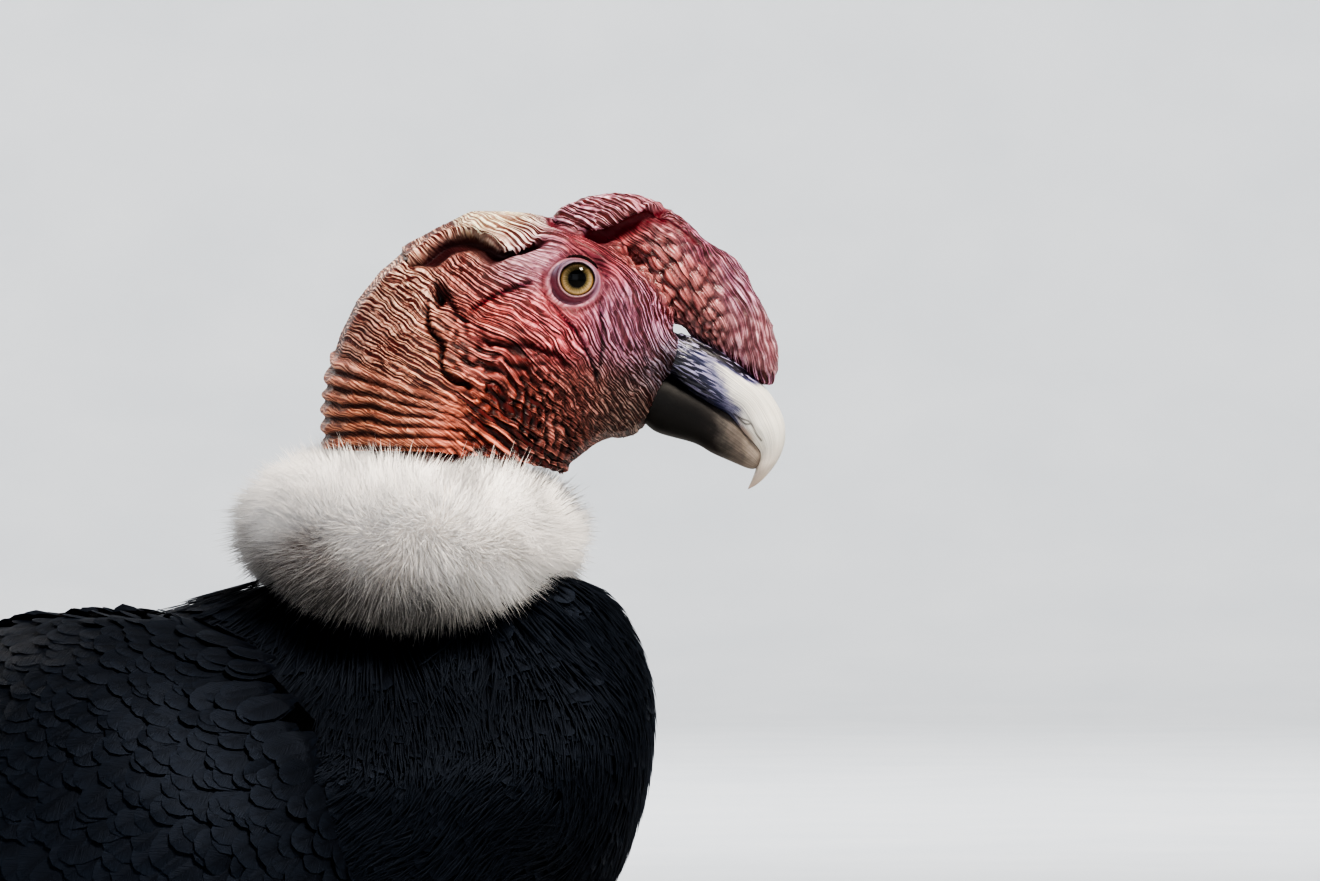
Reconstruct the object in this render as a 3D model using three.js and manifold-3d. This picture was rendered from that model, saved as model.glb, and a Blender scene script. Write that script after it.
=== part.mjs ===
// A life-size adult male Andean condor, standing at rest with its wings folded and its neck drawn in.
//
// Millimetres, +Z up, the bird faces +X and its left side is +Y. The floor is z = 0, and the origin is
// on the floor under the middle of the bird. Every shape is drawn in the collar frame, whose zero is the
// middle of the white neck ruff, and the whole bird is then lifted to its standing height.
// Each outline is the true outer one, feathers included.
import * as THREE from "three";
import { mergeVertices } from "three/addons/utils/BufferGeometryUtils.js";
import Module from "manifold-3d";

const wasm = await Module();
wasm.setup();

// Driving dimensions
const COLLAR_HEIGHT = 570;
const COLLAR_FORWARD = 244;
const FLOOR = -COLLAR_HEIGHT;
const GAP = 0.35;
const MIRROR_LAP = 0.02;
const EYE_RADIUS = 11.5;
const TAIL_FEATHERS = 12;
const TAIL_LENGTH = 328;
const TIP_CORNERS = 3;
const PRIMARY_TIPS = 6;
const SHANK_RADIUS = 10.5;
const ANKLE_HEIGHT = 142;
const FEET_APART = 156;
const FOOT_BACK = -146;

const COLOURS = {
  skin: { color: 0xb86a5c, roughness: 0.62, metalness: 0 },
  neckSkin: { color: 0xc07a52, roughness: 0.66, metalness: 0 },
  comb: { color: 0xa8485a, roughness: 0.58, metalness: 0 },
  horn: { color: 0xd8d2c4, roughness: 0.38, metalness: 0 },
  darkHorn: { color: 0x3a3438, roughness: 0.42, metalness: 0 },
  eye: { color: 0xa8874a, roughness: 0.08, metalness: 0 },
  down: { color: 0xf2eee8, roughness: 0.95, metalness: 0 },
  blackFeather: { color: 0x14161c, roughness: 0.55, metalness: 0 },
  whiteFeather: { color: 0xd9d7d2, roughness: 0.6, metalness: 0 },
  leg: { color: 0x6d6a68, roughness: 0.6, metalness: 0 },
  claw: { color: 0x2a2626, roughness: 0.4, metalness: 0 },
};

// A smooth curve through points of the middle plane, given as [x, z], or through [x, y, z] off it.
function rail(...points) {
  const places = points.map((p) => {
    if (p.length === 2) return new THREE.Vector3(p[0], 0, p[1]);
    return new THREE.Vector3(...p);
  });
  return new THREE.CatmullRomCurve3(places, false, "centripetal");
}

// A size that changes smoothly along a body: stops are [share of the way, size].
function along(...stops) {
  return (share) => {
    const next = stops.findIndex(([at]) => at >= share);
    if (next <= 0) return stops[next === 0 ? 0 : stops.length - 1][1];
    const [from, low] = stops[next - 1];
    const [to, high] = stops[next];
    return THREE.MathUtils.lerp(low, high, THREE.MathUtils.smoothstep(share, from, to));
  };
}

// A unit sphere is the blank of every body. Its poles become the two ends, and `form` is told how far
// along a vertex lies, from 0 to 1, and where it is in the section: up and side, each from -1 to 1.
function mould(lengthwise, around, form) {
  const blank = new THREE.SphereGeometry(1, around, lengthwise);
  const place = blank.getAttribute("position");
  for (let i = 0; i < place.count; i++) {
    const polar = Math.acos(THREE.MathUtils.clamp(place.getY(i), -1, 1));
    const ring = Math.max(Math.sin(polar), 1e-9);
    const atPole = ring < 1e-6;
    const up = atPole ? 0 : place.getX(i) / ring;
    const side = atPole ? 0 : place.getZ(i) / ring;
    const p = form(polar / Math.PI, up, side);
    place.setXYZ(i, p.x, p.y, p.z);
  }
  return blank;
}

// A body stretched between a top rail and a bottom rail, with an oval section of the width given.
// `finish` may move each point once more.
function hull({ top, bottom, halfWidth, steps = 16, around = 16, fullness = 1, finish = () => {} }) {
  return mould(steps, around, (share, up, side) => {
    const high = top.getPointAt(share);
    const low = bottom.getPointAt(share);
    const section = Math.sign(up) * Math.abs(up) ** fullness;
    const p = low.lerp(high, (1 + section) / 2);
    p.y += halfWidth(share) * Math.sign(side) * Math.abs(side) ** fullness;
    finish(p);
    return p;
  });
}

// A round limb along a curve, such as a shank or a toe, with a radius and a height-to-width ratio.
function limb({ path, radius, flat = 1, steps = 8, around = 10 }) {
  const sideways = new THREE.Vector3();
  const upwards = new THREE.Vector3();
  return mould(steps, around, (share, up, side) => {
    const heading = path.getTangentAt(share);
    sideways.set(-heading.y, heading.x, 0);
    if (sideways.length() < 0.05) sideways.set(0, 1, 0);
    sideways.normalize();
    upwards.crossVectors(heading, sideways).normalize();
    const size = radius(share);
    return path
      .getPointAt(share)
      .addScaledVector(sideways, side * size)
      .addScaledVector(upwards, up * size * flat);
  });
}

// The solid of a geometry, swollen by `swell` all over where a neighbour has to keep clear of it.
function solid(geometry, swell = 0) {
  const bare = geometry.clone();
  bare.deleteAttribute("normal");
  bare.deleteAttribute("uv");
  const merged = mergeVertices(bare, 1e-3);
  if (volumeOf(merged) < 0) turnFaces(merged.index.array);
  if (swell) {
    merged.computeVertexNormals();
    const place = merged.getAttribute("position");
    const normal = merged.getAttribute("normal");
    for (let i = 0; i < place.count; i++) {
      place.setXYZ(
        i,
        place.getX(i) + normal.getX(i) * swell,
        place.getY(i) + normal.getY(i) * swell,
        place.getZ(i) + normal.getZ(i) * swell,
      );
    }
  }
  return new wasm.Manifold(
    new wasm.Mesh({
      numProp: 3,
      vertProperties: new Float32Array(merged.getAttribute("position").array),
      triVerts: new Uint32Array(merged.index.array),
    }),
  );
}

// The volume inside a closed mesh, negative where its faces point inwards.
function volumeOf(geometry) {
  const place = geometry.getAttribute("position");
  const [a, b, c] = [new THREE.Vector3(), new THREE.Vector3(), new THREE.Vector3()];
  let volume = 0;
  for (let i = 0; i < geometry.index.count; i += 3) {
    a.fromBufferAttribute(place, geometry.index.getX(i));
    b.fromBufferAttribute(place, geometry.index.getX(i + 1));
    c.fromBufferAttribute(place, geometry.index.getX(i + 2));
    volume += a.dot(b.cross(c)) / 6;
  }
  return volume;
}

function turnFaces(corners) {
  for (let i = 0; i < corners.length; i += 3) {
    [corners[i + 1], corners[i + 2]] = [corners[i + 2], corners[i + 1]];
  }
}

const joined = (solids) => solids.reduce((whole, piece) => whole.add(piece));

// The largest single body of a solid, without the slivers that a cut can leave.
function main(cut) {
  return cut.decompose().reduce((best, piece) => (piece.volume() > best.volume() ? piece : best));
}

// What lies on the side of a plane that `facing` points to. The plane passes through `point`.
function partAhead(whole, facing, point, clearance = 0) {
  const normal = new THREE.Vector3(...facing).normalize();
  const distance = normal.dot(new THREE.Vector3(...point)) + clearance;
  return whole.trimByPlane([normal.x, normal.y, normal.z], distance);
}

const bird = new THREE.Group();
bird.position.set(COLLAR_FORWARD, 0, COLLAR_HEIGHT);

function add(name, made, finish) {
  const mesh = made.getMesh();
  const geometry = new THREE.BufferGeometry();
  geometry.setAttribute("position", new THREE.BufferAttribute(mesh.vertProperties, 3));
  geometry.setIndex(new THREE.BufferAttribute(mesh.triVerts, 1));
  geometry.computeVertexNormals();
  const piece = new THREE.Mesh(geometry, new THREE.MeshStandardMaterial(COLOURS[finish]));
  piece.name = name;
  bird.add(piece);
}

const SIDES = [
  ["right", -1],
  ["left", 1],
];

// The head and the bare neck are one form: it rises from the ruff up the nape, over the crown and down
// the forehead to the bill, and in front up the loose throat to the chin.
const headForm = hull({
  top: rail([-36, 14], [-39, 55], [-36, 79], [-27, 103], [-6, 127], [23, 144], [54, 145], [82, 138], [104, 119], [116, 97], [119, 80]),
  bottom: rail([60, 10], [66, 33], [74, 40], [84, 47], [97, 48], [105, 58], [112, 74], [119, 79]),
  halfWidth: along([0, 46], [0.2, 45], [0.45, 39], [0.66, 33.5], [0.8, 29.5], [0.92, 19], [1, 9]),
  steps: 18,
  around: 18,
  fullness: 0.95,
});

// The fleshy comb stands on the forehead from the crown to a free lobe over the bill. Its top edge is
// a thick roll that folds over the sides.
const COMB_ROLL = 3.5;
const combForm = mould(14, 10, (share, up, side) => {
  const ridge = rail([58, 142], [71, 150.5], [82, 153], [93, 154], [104, 152], [115, 146], [126, 138.5], [137, 127], [148, 112], [156, 98], [160, 85], [159, 76]);
  const root = rail([60, 141], [80, 133], [98, 119], [110, 104], [119, 95], [130, 88], [141, 82], [150, 76], [158, 74.5]);
  const thickness = along([0, 6], [0.2, 9], [0.5, 10.5], [0.8, 9.5], [0.95, 7], [1, 4])(share);
  const roll = COMB_ROLL * Math.exp(-(((up - 0.75) / 0.2) ** 2)) * along([0, 1], [0.5, 1], [0.7, 0], [1, 0])(share);
  const p = root.getPointAt(share).lerp(ridge.getPointAt(share), (1 + up) / 2);
  p.y += side * thickness + Math.sign(side) * Math.abs(side) ** 0.5 * roll;
  return p;
});

// The upper bill: a straight dark base under the cere, then the big pale hook.
const upperBillForm = hull({
  top: rail([104, 92], [123, 91], [141, 81.5], [152.5, 71.5], [159.3, 63.5], [163.2, 55], [163.7, 46], [161, 38], [156, 31], [151.5, 26.8], [147.4, 24.6]),
  bottom: rail([100, 76], [108.7, 77.4], [116.6, 70], [123, 63], [131.6, 58], [139.5, 55.4], [144, 48.5], [149.2, 43], [151.4, 39], [150.9, 34], [149.2, 28.6], [147.4, 24.6]),
  halfWidth: along([0, 14], [0.2, 15], [0.45, 13], [0.65, 10.5], [0.85, 5.5], [1, 0.8]),
  steps: 13,
  around: 10,
});
const lowerBillForm = hull({
  top: rail([92, 66], [106, 75], [120, 69], [134, 60], [146, 50], [152.5, 41], [152.8, 36]),
  bottom: rail([92, 62], [101.5, 54], [108.2, 49.3], [123.6, 44.9], [131.6, 40.5], [139.5, 37], [148, 33.6], [152.5, 34.5]),
  halfWidth: along([0, 12], [0.3, 12.5], [0.7, 10], [0.92, 7], [1, 3]),
  steps: 9,
  around: 8,
});

// The nostril is a slot right through the base of the bill, under the comb's root.
const NOSTRIL = { at: [117.6, 0, 94], size: [5.2, 40, 3.1], slope: 0.62 };
const nostrilForm = new THREE.SphereGeometry(1, 8, 6)
  .rotateX(Math.PI / 2)
  .scale(...NOSTRIL.size)
  .rotateY(NOSTRIL.slope)
  .translate(...NOSTRIL.at);

// The eyes look out and a little forward. Each is a ball sunk in its socket.
const EYE = { at: [72.5, 21.5, 116.6] };
const eyeForm = (hand, swell = 0) =>
  new THREE.SphereGeometry(EYE_RADIUS + swell, 12, 8)
    .rotateX(Math.PI / 2)
    .translate(EYE.at[0], hand * EYE.at[1], EYE.at[2]);

// The ruff of white down is a deep soft cushion round the foot of the neck. It is flat on top, its front
// and back lie up on the breast and the back, and its sides hang lower, over the sloping shoulders.
const RUFF = { halfLength: 77, halfWidth: 74, topDepth: 43, bottomDepth: 42 };
const RUFF_CURVE = { top: 0.4, underEnds: 1.3, underSides: 0.45 };
const ruffForm = (() => {
  const ball = new THREE.SphereGeometry(1, 20, 11).rotateX(Math.PI / 2);
  const place = ball.getAttribute("position");
  for (let i = 0; i < place.count; i++) {
    const [x, y, z] = [place.getX(i), place.getY(i), place.getZ(i)];
    const level = Math.max(Math.hypot(x, y), 1e-6);
    const under = THREE.MathUtils.lerp(RUFF_CURVE.underEnds, RUFF_CURVE.underSides, (y / level) ** 2);
    const spread = level ** (z > 0 ? RUFF_CURVE.top : under) / level;
    const depth = z > 0 ? RUFF.topDepth : RUFF.bottomDepth;
    place.setXYZ(i, x * spread * RUFF.halfLength, y * spread * RUFF.halfWidth, z * depth);
  }
  return ball;
})();

// The trunk is one egg, from the full breast in front to the vent, feathers included. Its shoulders slope
// in towards the neck under the ruff.
const TRUNK_HALF_WIDTH = 118;
const SHOULDER = { low: -105, high: -38, back: -170, front: -70, narrowing: 0.42 };
const trunkForm = hull({
  top: rail([52, -8], [20, 6], [-30, 0], [-85, -20], [-160, -50], [-235, -100], [-300, -162], [-352, -222], [-395, -280]),
  bottom: rail([52, -8], [84, -20], [101, -48], [106, -78], [100, -118], [84, -156], [52, -206], [0, -254], [-75, -294], [-165, -316], [-250, -322], [-325, -314], [-395, -294]),
  halfWidth: (share) => TRUNK_HALF_WIDTH * Math.sin(Math.PI * Math.min(1, share * 0.88 + 0.05)) ** 0.62,
  steps: 17,
  around: 18,
  fullness: 0.92,
  finish: (p) => {
    const height = THREE.MathUtils.smoothstep(p.z, SHOULDER.low, SHOULDER.high);
    const nearNeck = THREE.MathUtils.smoothstep(p.x, SHOULDER.back, SHOULDER.front);
    p.y *= 1 - SHOULDER.narrowing * height * nearNeck;
  },
});

// The folded wing is a curved shell round the side of the trunk. Its upper edge lies along the back and
// its lower edge runs from the wrist, beside the breast, back to the wing tip beside the tail.
const wingTop = rail([-62, -44, -42], [-112, -43, -31], [-182, -34, -37], [-260, -24, -80], [-350, -18, -158], [-450, -20, -262], [-560, -28, -375], [-640, -36, -462]);
const wingBottom = rail([-14, -84, -118], [-22, -106, -176], [-80, -120, -226], [-160, -122, -272], [-250, -113, -312], [-350, -95, -350], [-455, -76, -394], [-560, -58, -434], [-642, -45, -470]);
const wingBulge = along([0, 20], [0.15, 46], [0.4, 56], [0.6, 42], [0.8, 18], [1, 4]);
const wingDepth = along([0, 16], [0.2, 26], [0.5, 22], [0.75, 13], [1, 4]);
const ROOF_TURN = { low: -0.45, high: 1.25 };
const wingForm = mould(18, 12, (share, up, side) => {
  const rise = (1 + up) / 2;
  const lean = THREE.MathUtils.lerp(ROOF_TURN.low, ROOF_TURN.high, rise);
  const p = wingBottom.getPointAt(share).lerp(wingTop.getPointAt(share), rise);
  const outward = wingBulge(share) * 4 * rise * (1 - rise) * 0.9;
  p.y -= outward + Math.cos(lean) * side * wingDepth(share);
  p.z += Math.sin(lean) * side * wingDepth(share) + outward * 0.15;
  return p;
});

// A row of long feathers as one plate. It lies in its own X-Y plane, with the feathers along +X, and each
// feather shows as a round tip, a step shorter than the tip before it.
function featherRow({ count, reach, step, spacing, halfWidth, root, thickness }) {
  const outline = [new THREE.Vector2(0, root[0])];
  for (let i = 0; i < count; i++) {
    const lowest = i === 0 ? halfWidth : spacing / 2;
    const highest = i === count - 1 ? halfWidth : spacing / 2;
    const from = -Math.asin(lowest / halfWidth);
    const to = Math.asin(highest / halfWidth);
    for (let corner = 0; corner <= TIP_CORNERS; corner++) {
      const angle = THREE.MathUtils.lerp(from, to, corner / TIP_CORNERS);
      const x = reach - i * step - halfWidth * (1 - Math.cos(angle));
      outline.push(new THREE.Vector2(x, i * spacing + halfWidth * Math.sin(angle)));
    }
  }
  outline.push(new THREE.Vector2(0, root[1]));
  const plate = new THREE.ExtrudeGeometry(new THREE.Shape(outline), { depth: thickness, bevelEnabled: false });
  return plate.translate(0, 0, -thickness / 2);
}

// Puts a flat plate in its place: its X runs along `heading` and its Y as near `across` as it can.
function placed(plate, origin, heading, across) {
  const x = new THREE.Vector3(...heading).normalize();
  const z = x.clone().cross(new THREE.Vector3(...across)).normalize();
  const y = z.clone().cross(x);
  return plate.applyMatrix4(new THREE.Matrix4().makeBasis(x, y, z).setPosition(...origin));
}

// The tail: a cone of coverts, then twelve long feathers in two halves that fall away like a low roof.
const TAIL = { root: [-352, -264], pitch: 0.63, droop: 0.16, overlap: 1.5 };
const tailHalf = (hand, swell) => {
  const plate = featherRow({
    count: TAIL_FEATHERS / 2,
    reach: TAIL_LENGTH + swell,
    step: 3,
    spacing: 11.5,
    halfWidth: 26,
    root: [-TAIL.overlap - swell, 56 + swell],
    thickness: 9 + 2 * swell,
  });
  plate.translate(0, 5.75, 0);
  const heading = [-Math.cos(TAIL.pitch), 0, -Math.sin(TAIL.pitch)];
  const across = [0, hand * Math.cos(TAIL.droop), -Math.sin(TAIL.droop)];
  return placed(plate, [TAIL.root[0], 0, TAIL.root[1]], heading, across);
};
const tailCone = hull({
  top: rail([-330, -215], [-400, -282], [-450, -330], [-490, -368]),
  bottom: rail([-330, -310], [-400, -332], [-450, -358], [-490, -384]),
  halfWidth: along([0, 62], [0.5, 52], [1, 34]),
  steps: 6,
  around: 10,
});

// The thigh's feathers hang like a short trouser leg to the ankle.
const legPath = (hand) => rail([-92, hand * 46, -226], [-108, hand * 58, -268], [-130, hand * 70, -330], [-152, hand * 77, -392], [-166, hand * 78, FLOOR + ANKLE_HEIGHT + 2]);
const thighForm = (hand) =>
  limb({
    path: legPath(hand),
    radius: along([0, 24], [0.25, 45], [0.5, 45], [0.75, 31], [0.92, 20], [1, 15]),
    steps: 8,
    around: 12,
  });
const footAt = (hand) => [FOOT_BACK, (hand * FEET_APART) / 2, FLOOR];
const shankForm = (hand) => {
  const [x, y, z] = footAt(hand);
  return limb({
    path: rail([x - 21, y, z + ANKLE_HEIGHT + 14], [x - 18, y, z + ANKLE_HEIGHT - 8], [x - 9, y, z + 70], [x - 2, y, z + 26], [x, y, z + 12]),
    radius: along([0, 13], [0.15, 14], [0.35, SHANK_RADIUS], [0.75, SHANK_RADIUS], [1, 15]),
    steps: 7,
    around: 8,
  });
};

// The toes: name, turn away from straight ahead (towards the outside), length and radius at the root.
const TOES = [
  { name: "inner", turn: -0.46, length: 68, radius: 9 },
  { name: "middle", turn: 0.06, length: 102, radius: 10 },
  { name: "outer", turn: 0.52, length: 74, radius: 9 },
  { name: "hind", turn: Math.PI + 0.3, length: 34, radius: 7.5 },
];
const SOLE = 1.6;
const CLAW_LENGTH = 26;
function toeLine(hand, toe) {
  const [x, y, z] = footAt(hand);
  const heading = [Math.cos(toe.turn), hand * Math.sin(toe.turn)];
  const at = (reach, lift) => [x + heading[0] * reach, y + heading[1] * reach, z + lift];
  return { at, heading };
}
function toeForm(hand, toe) {
  const { at } = toeLine(hand, toe);
  const low = toe.radius * 0.84 - SOLE;
  return limb({
    path: rail(at(0, toe.radius + 4), at(toe.length * 0.35, low + 4), at(toe.length * 0.7, low), at(toe.length, low - 1)),
    radius: along([0, toe.radius * 1.15], [0.4, toe.radius * 0.92], [0.6, toe.radius], [0.9, toe.radius * 0.84], [1, toe.radius * 0.6]),
    flat: 0.92,
    steps: 6,
    around: 8,
  });
}
function clawForm(hand, toe) {
  const { at } = toeLine(hand, toe);
  const reach = toe.length - 5;
  return limb({
    path: rail(at(reach, 8), at(reach + CLAW_LENGTH * 0.45, 10.5), at(reach + CLAW_LENGTH * 0.8, 7.5), at(reach + CLAW_LENGTH, 1.6)),
    radius: along([0, 4.8], [0.3, 5], [0.7, 3.4], [1, 0.8]),
    steps: 5,
    around: 6,
  });
}
const onFloor = (made) => partAhead(made, [0, 0, 1], [0, 0, FLOOR]);

// The pieces are cut from the forms so that each meets its neighbours with a small gap.
const NECK_CUT = { facing: [0.42, 0, 1], point: [8, 0, 74] };
// A solid whose right half is the mirror of its left, since the facets of a form don't quite match.
function evenSided(made) {
  const left = made.trimByPlane([0, 1, 0], -MIRROR_LAP);
  return left.add(left.mirror([0, 1, 0]));
}
const ruffRoom = solid(ruffForm, GAP);
const trunkRoom = evenSided(solid(trunkForm, GAP));
const headRoom = solid(headForm, GAP);
const nostril = solid(nostrilForm);
const eyeRooms = SIDES.map(([, hand]) => solid(eyeForm(hand, GAP)));
const upperBillRoom = solid(upperBillForm, GAP);

const headNeck = solid(headForm).subtract(nostril).subtract(joined(eyeRooms)).subtract(ruffRoom);
add("head", main(partAhead(headNeck, NECK_CUT.facing, NECK_CUT.point, GAP / 2)), "skin");
const neckFacing = NECK_CUT.facing.map((n) => -n);
add("neck", main(partAhead(headNeck, neckFacing, NECK_CUT.point, GAP / 2)), "neckSkin");
add("comb", main(solid(combForm).subtract(headRoom).subtract(nostril).subtract(upperBillRoom)), "comb");
add("bill_upper", main(solid(upperBillForm).subtract(headRoom).subtract(nostril)), "horn");
add("bill_lower", main(solid(lowerBillForm).subtract(headRoom).subtract(upperBillRoom)), "darkHorn");
for (const [side, hand] of SIDES) add(`eye_${side}`, solid(eyeForm(hand)), "eye");
add("ruff", solid(ruffForm), "down");

const tailWhole = (swell) =>
  evenSided(joined([solid(tailCone, swell), ...SIDES.map(([, hand]) => solid(tailHalf(hand, swell)))]));
const tail = main(tailWhole(0).subtract(trunkRoom));
add("trunk", main(evenSided(solid(trunkForm)).subtract(ruffRoom)), "blackFeather");
add("tail", tail, "blackFeather");

// The long primaries of the folded wing end in a row of stepped tips past the shell.
const primaryTips = placed(
  featherRow({
    count: PRIMARY_TIPS,
    reach: 212,
    step: 17,
    spacing: 10.5,
    halfWidth: 15,
    root: [-15, 66],
    thickness: 7,
  }),
  [-466, -66, -372],
  [-0.838, 0.08, -0.47],
  [-0.4, 0.3, 0.86],
);
const COVERT_CUT = { facing: [1, 0, 0.35], point: [-215, 0, -170] };
const PRIMARY_CUT = { facing: [-1, 0, -0.45], point: [-440, 0, -320] };
const rightShell = joined([solid(wingForm), solid(primaryTips)])
  .subtract(trunkRoom)
  .subtract(evenSided(ruffRoom))
  .subtract(tailWhole(GAP));
const clearOfMiddle = partAhead(rightShell, [0, -1, 0], [0, 0, 0], GAP);
for (const [side, hand] of SIDES) {
  const wing = hand < 0 ? clearOfMiddle : clearOfMiddle.mirror([0, 1, 0]);
  add(`wing_${side}_coverts`, main(partAhead(wing, COVERT_CUT.facing, COVERT_CUT.point, GAP / 2)), "blackFeather");
  const rear = partAhead(wing, COVERT_CUT.facing.map((n) => -n), COVERT_CUT.point, GAP / 2);
  add(
    `wing_${side}_secondaries`,
    main(partAhead(rear, PRIMARY_CUT.facing.map((n) => -n), PRIMARY_CUT.point, GAP / 2)),
    "whiteFeather",
  );
  add(`wing_${side}_primaries`, main(partAhead(rear, PRIMARY_CUT.facing, PRIMARY_CUT.point, GAP / 2)), "blackFeather");
}

for (const [side, hand] of SIDES) {
  const shankRoom = solid(shankForm(hand), GAP);
  add(`thigh_${side}`, main(solid(thighForm(hand)).subtract(trunkRoom).subtract(shankRoom)), "blackFeather");
  add(`shank_${side}`, onFloor(solid(shankForm(hand))), "leg");
  let taken = shankRoom;
  for (const toe of TOES) {
    const form = toeForm(hand, toe);
    add(`toe_${side}_${toe.name}`, main(onFloor(solid(form)).subtract(taken)), "leg");
    const room = solid(form, GAP);
    taken = taken.add(room);
    add(`claw_${side}_${toe.name}`, main(onFloor(solid(clawForm(hand, toe))).subtract(room)), "claw");
  }
}

export default bird;
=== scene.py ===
# A life-size adult male Andean condor, built up as a taxidermist would: the bare skin first, then the eyes,
# the bill and the claws, then the white ruff and the black and white feathers over the skin.
import math

import bmesh
import bpy
import numpy as np
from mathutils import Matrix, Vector
from mathutils.bvhtree import BVHTree
from mathutils.kdtree import KDTree


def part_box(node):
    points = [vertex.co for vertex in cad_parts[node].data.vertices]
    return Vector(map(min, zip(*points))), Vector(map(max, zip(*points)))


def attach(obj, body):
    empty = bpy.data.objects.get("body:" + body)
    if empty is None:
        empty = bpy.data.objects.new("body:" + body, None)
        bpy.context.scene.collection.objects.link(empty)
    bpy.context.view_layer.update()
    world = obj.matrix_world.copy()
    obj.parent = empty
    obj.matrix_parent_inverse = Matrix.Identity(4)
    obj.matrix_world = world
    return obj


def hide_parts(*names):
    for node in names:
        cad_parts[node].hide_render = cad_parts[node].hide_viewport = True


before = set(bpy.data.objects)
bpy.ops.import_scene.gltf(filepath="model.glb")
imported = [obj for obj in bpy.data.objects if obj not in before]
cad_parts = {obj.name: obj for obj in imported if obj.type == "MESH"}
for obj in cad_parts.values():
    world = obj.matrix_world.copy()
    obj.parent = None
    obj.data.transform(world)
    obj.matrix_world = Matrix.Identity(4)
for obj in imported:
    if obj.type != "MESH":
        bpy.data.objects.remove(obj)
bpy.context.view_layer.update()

# The studio: a pale round floor that sweeps up into a wall, a big soft light above the bill, a fill beside
# the camera and a rim light behind. The camera looks level along +Y with a long lens, as the photo does,
# and frames the head, the ruff and the top of the breast.
MM = 0.001
ruff_low, ruff_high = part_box("ruff")
COLLAR = np.array([(ruff_low.x + ruff_high.x) / 2, 0, (ruff_low.z + ruff_high.z) / 2 - 0.5 * MM])
FRAME_WIDTH = 580.8 * MM
FRAME_MIDDLE = (108.7 * MM, 46 * MM)
CAMERA_AWAY = 4.5
SENSOR = 36.0


def from_hex(text, alpha=1.0):
    """A colour written as sRGB hex, in the linear light that the shaders use."""
    parts = [int(text[i : i + 2], 16) / 255 for i in (1, 3, 5)]
    linear = [c / 12.92 if c <= 0.04045 else ((c + 0.055) / 1.055) ** 2.4 for c in parts]
    return (*linear, alpha)


def rgb(text):
    return np.array(from_hex(text)[:3])


def new_material(name):
    """A material with an empty node tree, and the function that adds nodes to it."""
    material = bpy.data.materials.new(name)
    material.use_nodes = True
    tree = material.node_tree
    tree.nodes.clear()

    def add(kind, stops=(), **values):
        """Adds one shader node. A lower-case name is a setting, any other an input, or i0, i1 and so on by
        its number. An input is a value, a node to link from its first output, or (node, output name). A
        ramp's stops are (position, hex)."""
        node = tree.nodes.new("ShaderNode" + kind)
        for name, value in values.items():
            number = name[1:].isdigit()
            if name[0].islower() and not number:
                setattr(node, name, value)
                continue
            socket = node.inputs[int(name[1:]) if number else name.replace("_", " ")]
            source = value if isinstance(value, tuple) else (value, 0)
            if isinstance(source[0], bpy.types.Node):
                tree.links.new(source[0].outputs[source[1]], socket)
            else:
                socket.default_value = value
        while stops and len(node.color_ramp.elements) < len(stops):
            node.color_ramp.elements.new(0.5)
        for number, (position, colour) in enumerate(stops):
            node.color_ramp.elements[number].position = position
            node.color_ramp.elements[number].color = from_hex(colour)
        return node

    return material, add


def linked(name, data):
    """A new object of the scene, with this mesh, light or camera."""
    made = bpy.data.objects.new(name, data)
    bpy.context.scene.collection.objects.link(made)
    return made


def smooth_object(name, mesh):
    mesh.polygons.foreach_set("use_smooth", np.full(len(mesh.polygons), True))
    return linked(name, mesh)


def object_from(bm, name):
    """Turns a finished bmesh into an object."""
    mesh = bpy.data.meshes.new(name)
    bm.to_mesh(mesh)
    bm.free()
    return smooth_object(name, mesh)


# Painted plaster cove of a studio, matt, so it gives no reflection of its own.
def studio_plaster():
    material, add = new_material("studio_plaster")
    place = add("TexCoord")
    grain = add("TexNoise", Vector=(place, "Object"), Scale=3.0, Detail=4.0)
    tone = add("ValToRGB", Fac=grain, stops=[(0.3, "#cfd0d0"), (0.7, "#d6d6d5")])
    shader = add("BsdfPrincipled", Base_Color=tone, Roughness=0.9)
    add("OutputMaterial", Surface=shader)
    return material


COVE_RADIUS = 22.0
COVE_BEND = 4.0
COVE_HEIGHT = 14.0
bm = bmesh.new()
profile = [bm.verts.new((0, 0, 0)), bm.verts.new((COVE_RADIUS - COVE_BEND, 0, 0))]
for step in range(1, 13):
    angle = math.pi / 2 * step / 12
    x = COVE_RADIUS - COVE_BEND + COVE_BEND * math.sin(angle)
    profile.append(bm.verts.new((x, 0, COVE_BEND * (1 - math.cos(angle)))))
profile.append(bm.verts.new((COVE_RADIUS, 0, COVE_HEIGHT)))
edges = [bm.edges.new(pair) for pair in zip(profile, profile[1:])]
bmesh.ops.spin(
    bm, geom=profile + edges, cent=(0, 0, 0), axis=(0, 0, 1), angle=2 * math.pi, steps=64, use_merge=True,
)
bmesh.ops.remove_doubles(bm, verts=bm.verts, dist=1e-4)
bmesh.ops.recalc_face_normals(bm, faces=bm.faces)
floor = object_from(bm, "studio_floor")
floor.data.materials.append(studio_plaster())


def soft_light(name, place, target, size, watts, tint):
    """A square soft box at `place`, turned to `target`."""
    lamp = bpy.data.lights.new(name, "AREA")
    lamp.shape = "RECTANGLE"
    lamp.size, lamp.size_y = size
    lamp.energy = watts
    lamp.color = rgb(tint)
    box = linked(name, lamp)
    box.location = place
    box.rotation_euler = (Vector(target) - Vector(place)).to_track_quat("-Z", "Y").to_euler()


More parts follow.
